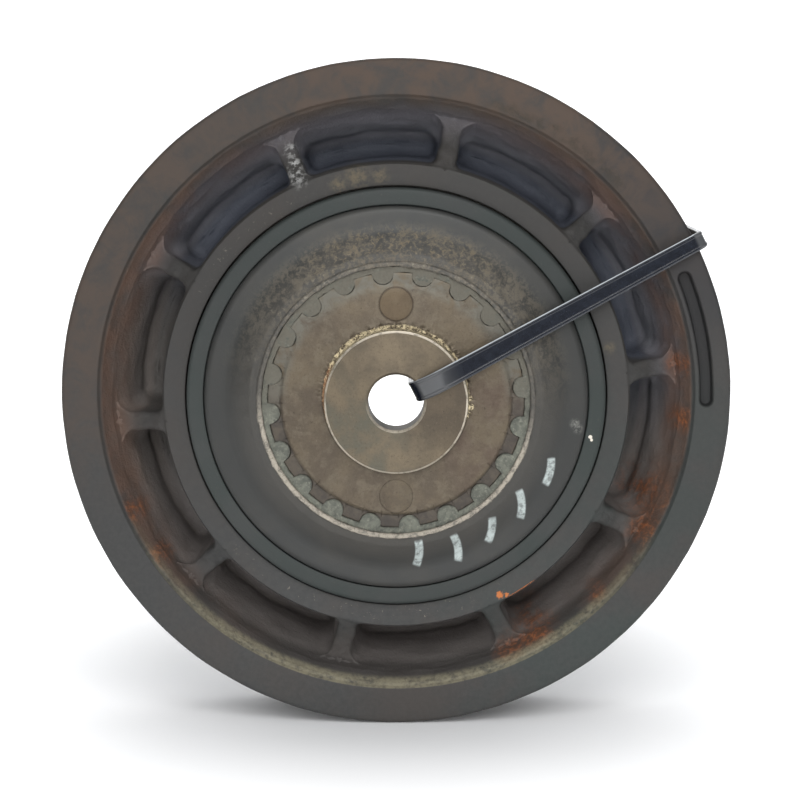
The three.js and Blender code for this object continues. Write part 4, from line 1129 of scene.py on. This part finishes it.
def make_rotor():
    piece = lathe("rotor_body", [
        (ROTOR_BORE_RADIUS, ROTOR_FACE, 0.3), (ROTOR_RADIUS, ROTOR_FACE, 0.3),
        (ROTOR_RADIUS, RING_REAR, 0.8), (ROTOR_SHELL_RADIUS, RING_REAR, 0.8),
        (ROTOR_SHELL_RADIUS, ROTOR_DISC_REAR, 1), (ROTOR_TUBE_RADIUS, ROTOR_DISC_REAR, 1),
        (ROTOR_TUBE_RADIUS, -30, 0.5), (BEARING_SEAT_RADIUS, -30, 0.5),
        (BEARING_SEAT_RADIUS, -35.6), (42, -35.6),
        (42, BEARING_STOP), (BEARING_SEAT_RADIUS, BEARING_STOP),
        (BEARING_SEAT_RADIUS, ROTOR_DISC_REAR),
        (ROTOR_BORE_RADIUS, ROTOR_DISC_REAR),
    ], 4, 2.5)
    through = [(0, ROTOR_FACE - 1), (0, ROTOR_DISC_REAR + 1)]
    slots = [arc_slot(radius, FLUX_HALF_WIDTH, i * 60 + 9.5, i * 60 + 50.5, through)
             for radius in (48.9, 58.9) for i in range(6)]
    facing = np.array([(51.7, -1), (56.3, -1), (56.3, 1.4), (51.7, 1.4)]) + (0, ROTOR_FACE)
    carve(piece, turned(facing), *slots)
    steel = machined("rotor_steel", (74, 73, 70), (104, 102, 97), 0.45, 0.5)
    finished(piece, steel, "pulley_unit", "rotor_steel", "rotor")


def strap_path():
    """The tie's closed centre line in the (radius, y) plane of its azimuth: up the bore and over the rim."""
    rim = RIM_RADIUS + 2.3
    return dense(rounded([
        (STRAP_BORE_RADIUS, 1.4, 4), (STRAP_BORE_RADIUS, BOSS_FRONT - 4.6, 9), (rim, RIM_FRONT - 2, 2.4),
        (rim, RIM_REAR + 2, 3), (FLANGE_RADIUS + 1.2, 1.4, 3),
    ], 10), 2.0)


def make_tie():
    path = strap_path()
    along = np.roll(path, -1, axis=0) - np.roll(path, 1, axis=0)
    along /= np.linalg.norm(along, axis=1)[:, None]
    outward = np.stack([-along[:, 1], along[:, 0]], axis=1)
    if np.sum((path - path.mean(axis=0)) * outward) < 0:
        outward = -outward
    thick = TIE_THICKNESS / 2
    sideways = polar(1, TIE_AZIMUTH + 90, 0)
    loops = []
    for point, normal in zip(path, outward):
        half = np.interp(point[0], [0, STRAP_REACH], STRAP_WIDTHS) / 2
        side = [(half, -thick, 0.3), (half, thick - 0.45, 0.2), (half - 0.5, thick, 0.2),
                (half - 1, thick, 0.2), (half - 1.25, thick - 0.15, 0.15)]
        section = rounded(side + [(-across, up, radius) for across, up, radius in side[::-1]], 4)
        places = point + section[:, 1:] * normal
        loops.append(polar(places[:, 0], TIE_AZIMUTH, places[:, 1]) + section[:, :1] * sideways)
    piece = mesh_object("nylon_strap", skin(loops, close=True), sharp=50)
    nylon = black_nylon()
    finished(piece, nylon, "carrier_unit", "black_nylon", "tie_strap")
    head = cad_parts["tie_head"]
    bevel = head.modifiers.new("edges", "BEVEL")
    bevel.width = 0.35 * MM
    bevel.segments = 3
    give(head, nylon)


# -------- inner pieces


def finish_inner_nodes():
    """The pieces that the assembled clutch hides keep their CAD shape and get their own finishes."""
    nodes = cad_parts
    ground = machined("bearing_steel", (160, 160, 158), (198, 198, 196), 0.22, 0.1)
    sprung = coated("spring_steel", (34, 34, 35), (58, 57, 56), 0.45)
    rubber = black_rubber()
    finishes = {
        "bearing_inner_ring": ground,
        "bearing_outer_ring": ground,
        "bearing_cage": machined("cage_brass", (150, 118, 60), (190, 156, 88), 0.35, 0.2),
        "bearing_seal_front": rubber,
        "bearing_seal_rear": rubber,
        "rotor_circlip": sprung,
        "carrier_circlip": sprung,
        "friction_ring": coated("friction_lining", (74, 62, 50), (98, 82, 64), 0.9),
        "coil_bobbin": coated("bobbin_plastic", (164, 148, 118), (190, 174, 140), 0.55),
        "coil_winding": winding_copper(),
        "coil_potting": coated("resin", (40, 36, 32), (54, 48, 42), 0.3),
    }
    finishes.update({name: ground for name in nodes if name.startswith("bearing_ball_")})
    for name, material in finishes.items():
        give(nodes[name], material)


# -------- the studio

STUDIO_REACH = 3  # lengths in the studio are in metres
WALL_PLACE = 1.6
WALL_BEND = 0.8


def make_studio():
    """A pale floor that curves up into a backdrop, and soft lights from above and in front."""
    floor = cad_box[0].z
    sweep = rounded([(-STUDIO_REACH, floor), (WALL_PLACE, floor, WALL_BEND), (WALL_PLACE, STUDIO_REACH)], 16)
    loops = [np.array([(x, y, z) for y, z in sweep]) / MM for x in (-STUDIO_REACH, STUDIO_REACH)]
    count = len(sweep)
    faces = [(i, i + 1, count + i + 1, count + i) for i in range(count - 1)]
    backdrop = mesh_object("backdrop", (np.concatenate(loops), faces), sharp=60)
    f = Finish("paper")
    grain = f.noise(40, 3, 0.5)
    f.colour = f.mix(grain, (244, 245, 246), (249, 249, 250))
    f.bump((grain, 0.02))
    away = f.measure("DISTANCE", f.place, (0, 0, floor))
    glow = away.step(0.04, 0.22).scaled(0, 0.55)  # the paper glows, the more the further it is from the object, leaving painted shade round the object
    paper = f.done(roughness=0.8, emission_color=(1, 1, 1, 1), emission_strength=glow)
    backdrop.data.materials.append(paper)
    lamp("key", (0.12, -1.5, 1.15), (0, -0.05, 0), 1.2, 17)
    lamp("fill", (-0.1, -1.8, 0.4), (0, -0.05, 0), 0.8, 8)
    lamp("back", (0, 0.75, 1.6), (0, 0.6, -0.1), 1.6, 7)
    world = bpy.data.worlds.new("room")
    world.use_nodes = True
    background = world.node_tree.nodes["Background"]
    background.inputs["Color"].default_value = (0.95, 0.97, 1, 1)
    background.inputs["Strength"].default_value = 0.3
    bpy.context.scene.world = world
    bpy.context.scene.view_settings.view_transform = "Standard"


def lamp(name, place, target, size, power):
    light = bpy.data.lights.new(name, "AREA")
    light.shape = "DISK"
    light.size = size
    light.energy = power
    stand(name, light, place, Vector(target) - Vector(place))


make_pulley()
make_armature()
make_hub()
make_rubber()
make_carrier()
make_coil()
make_gland()
make_rotor()
make_tie()
finish_inner_nodes()
make_studio()
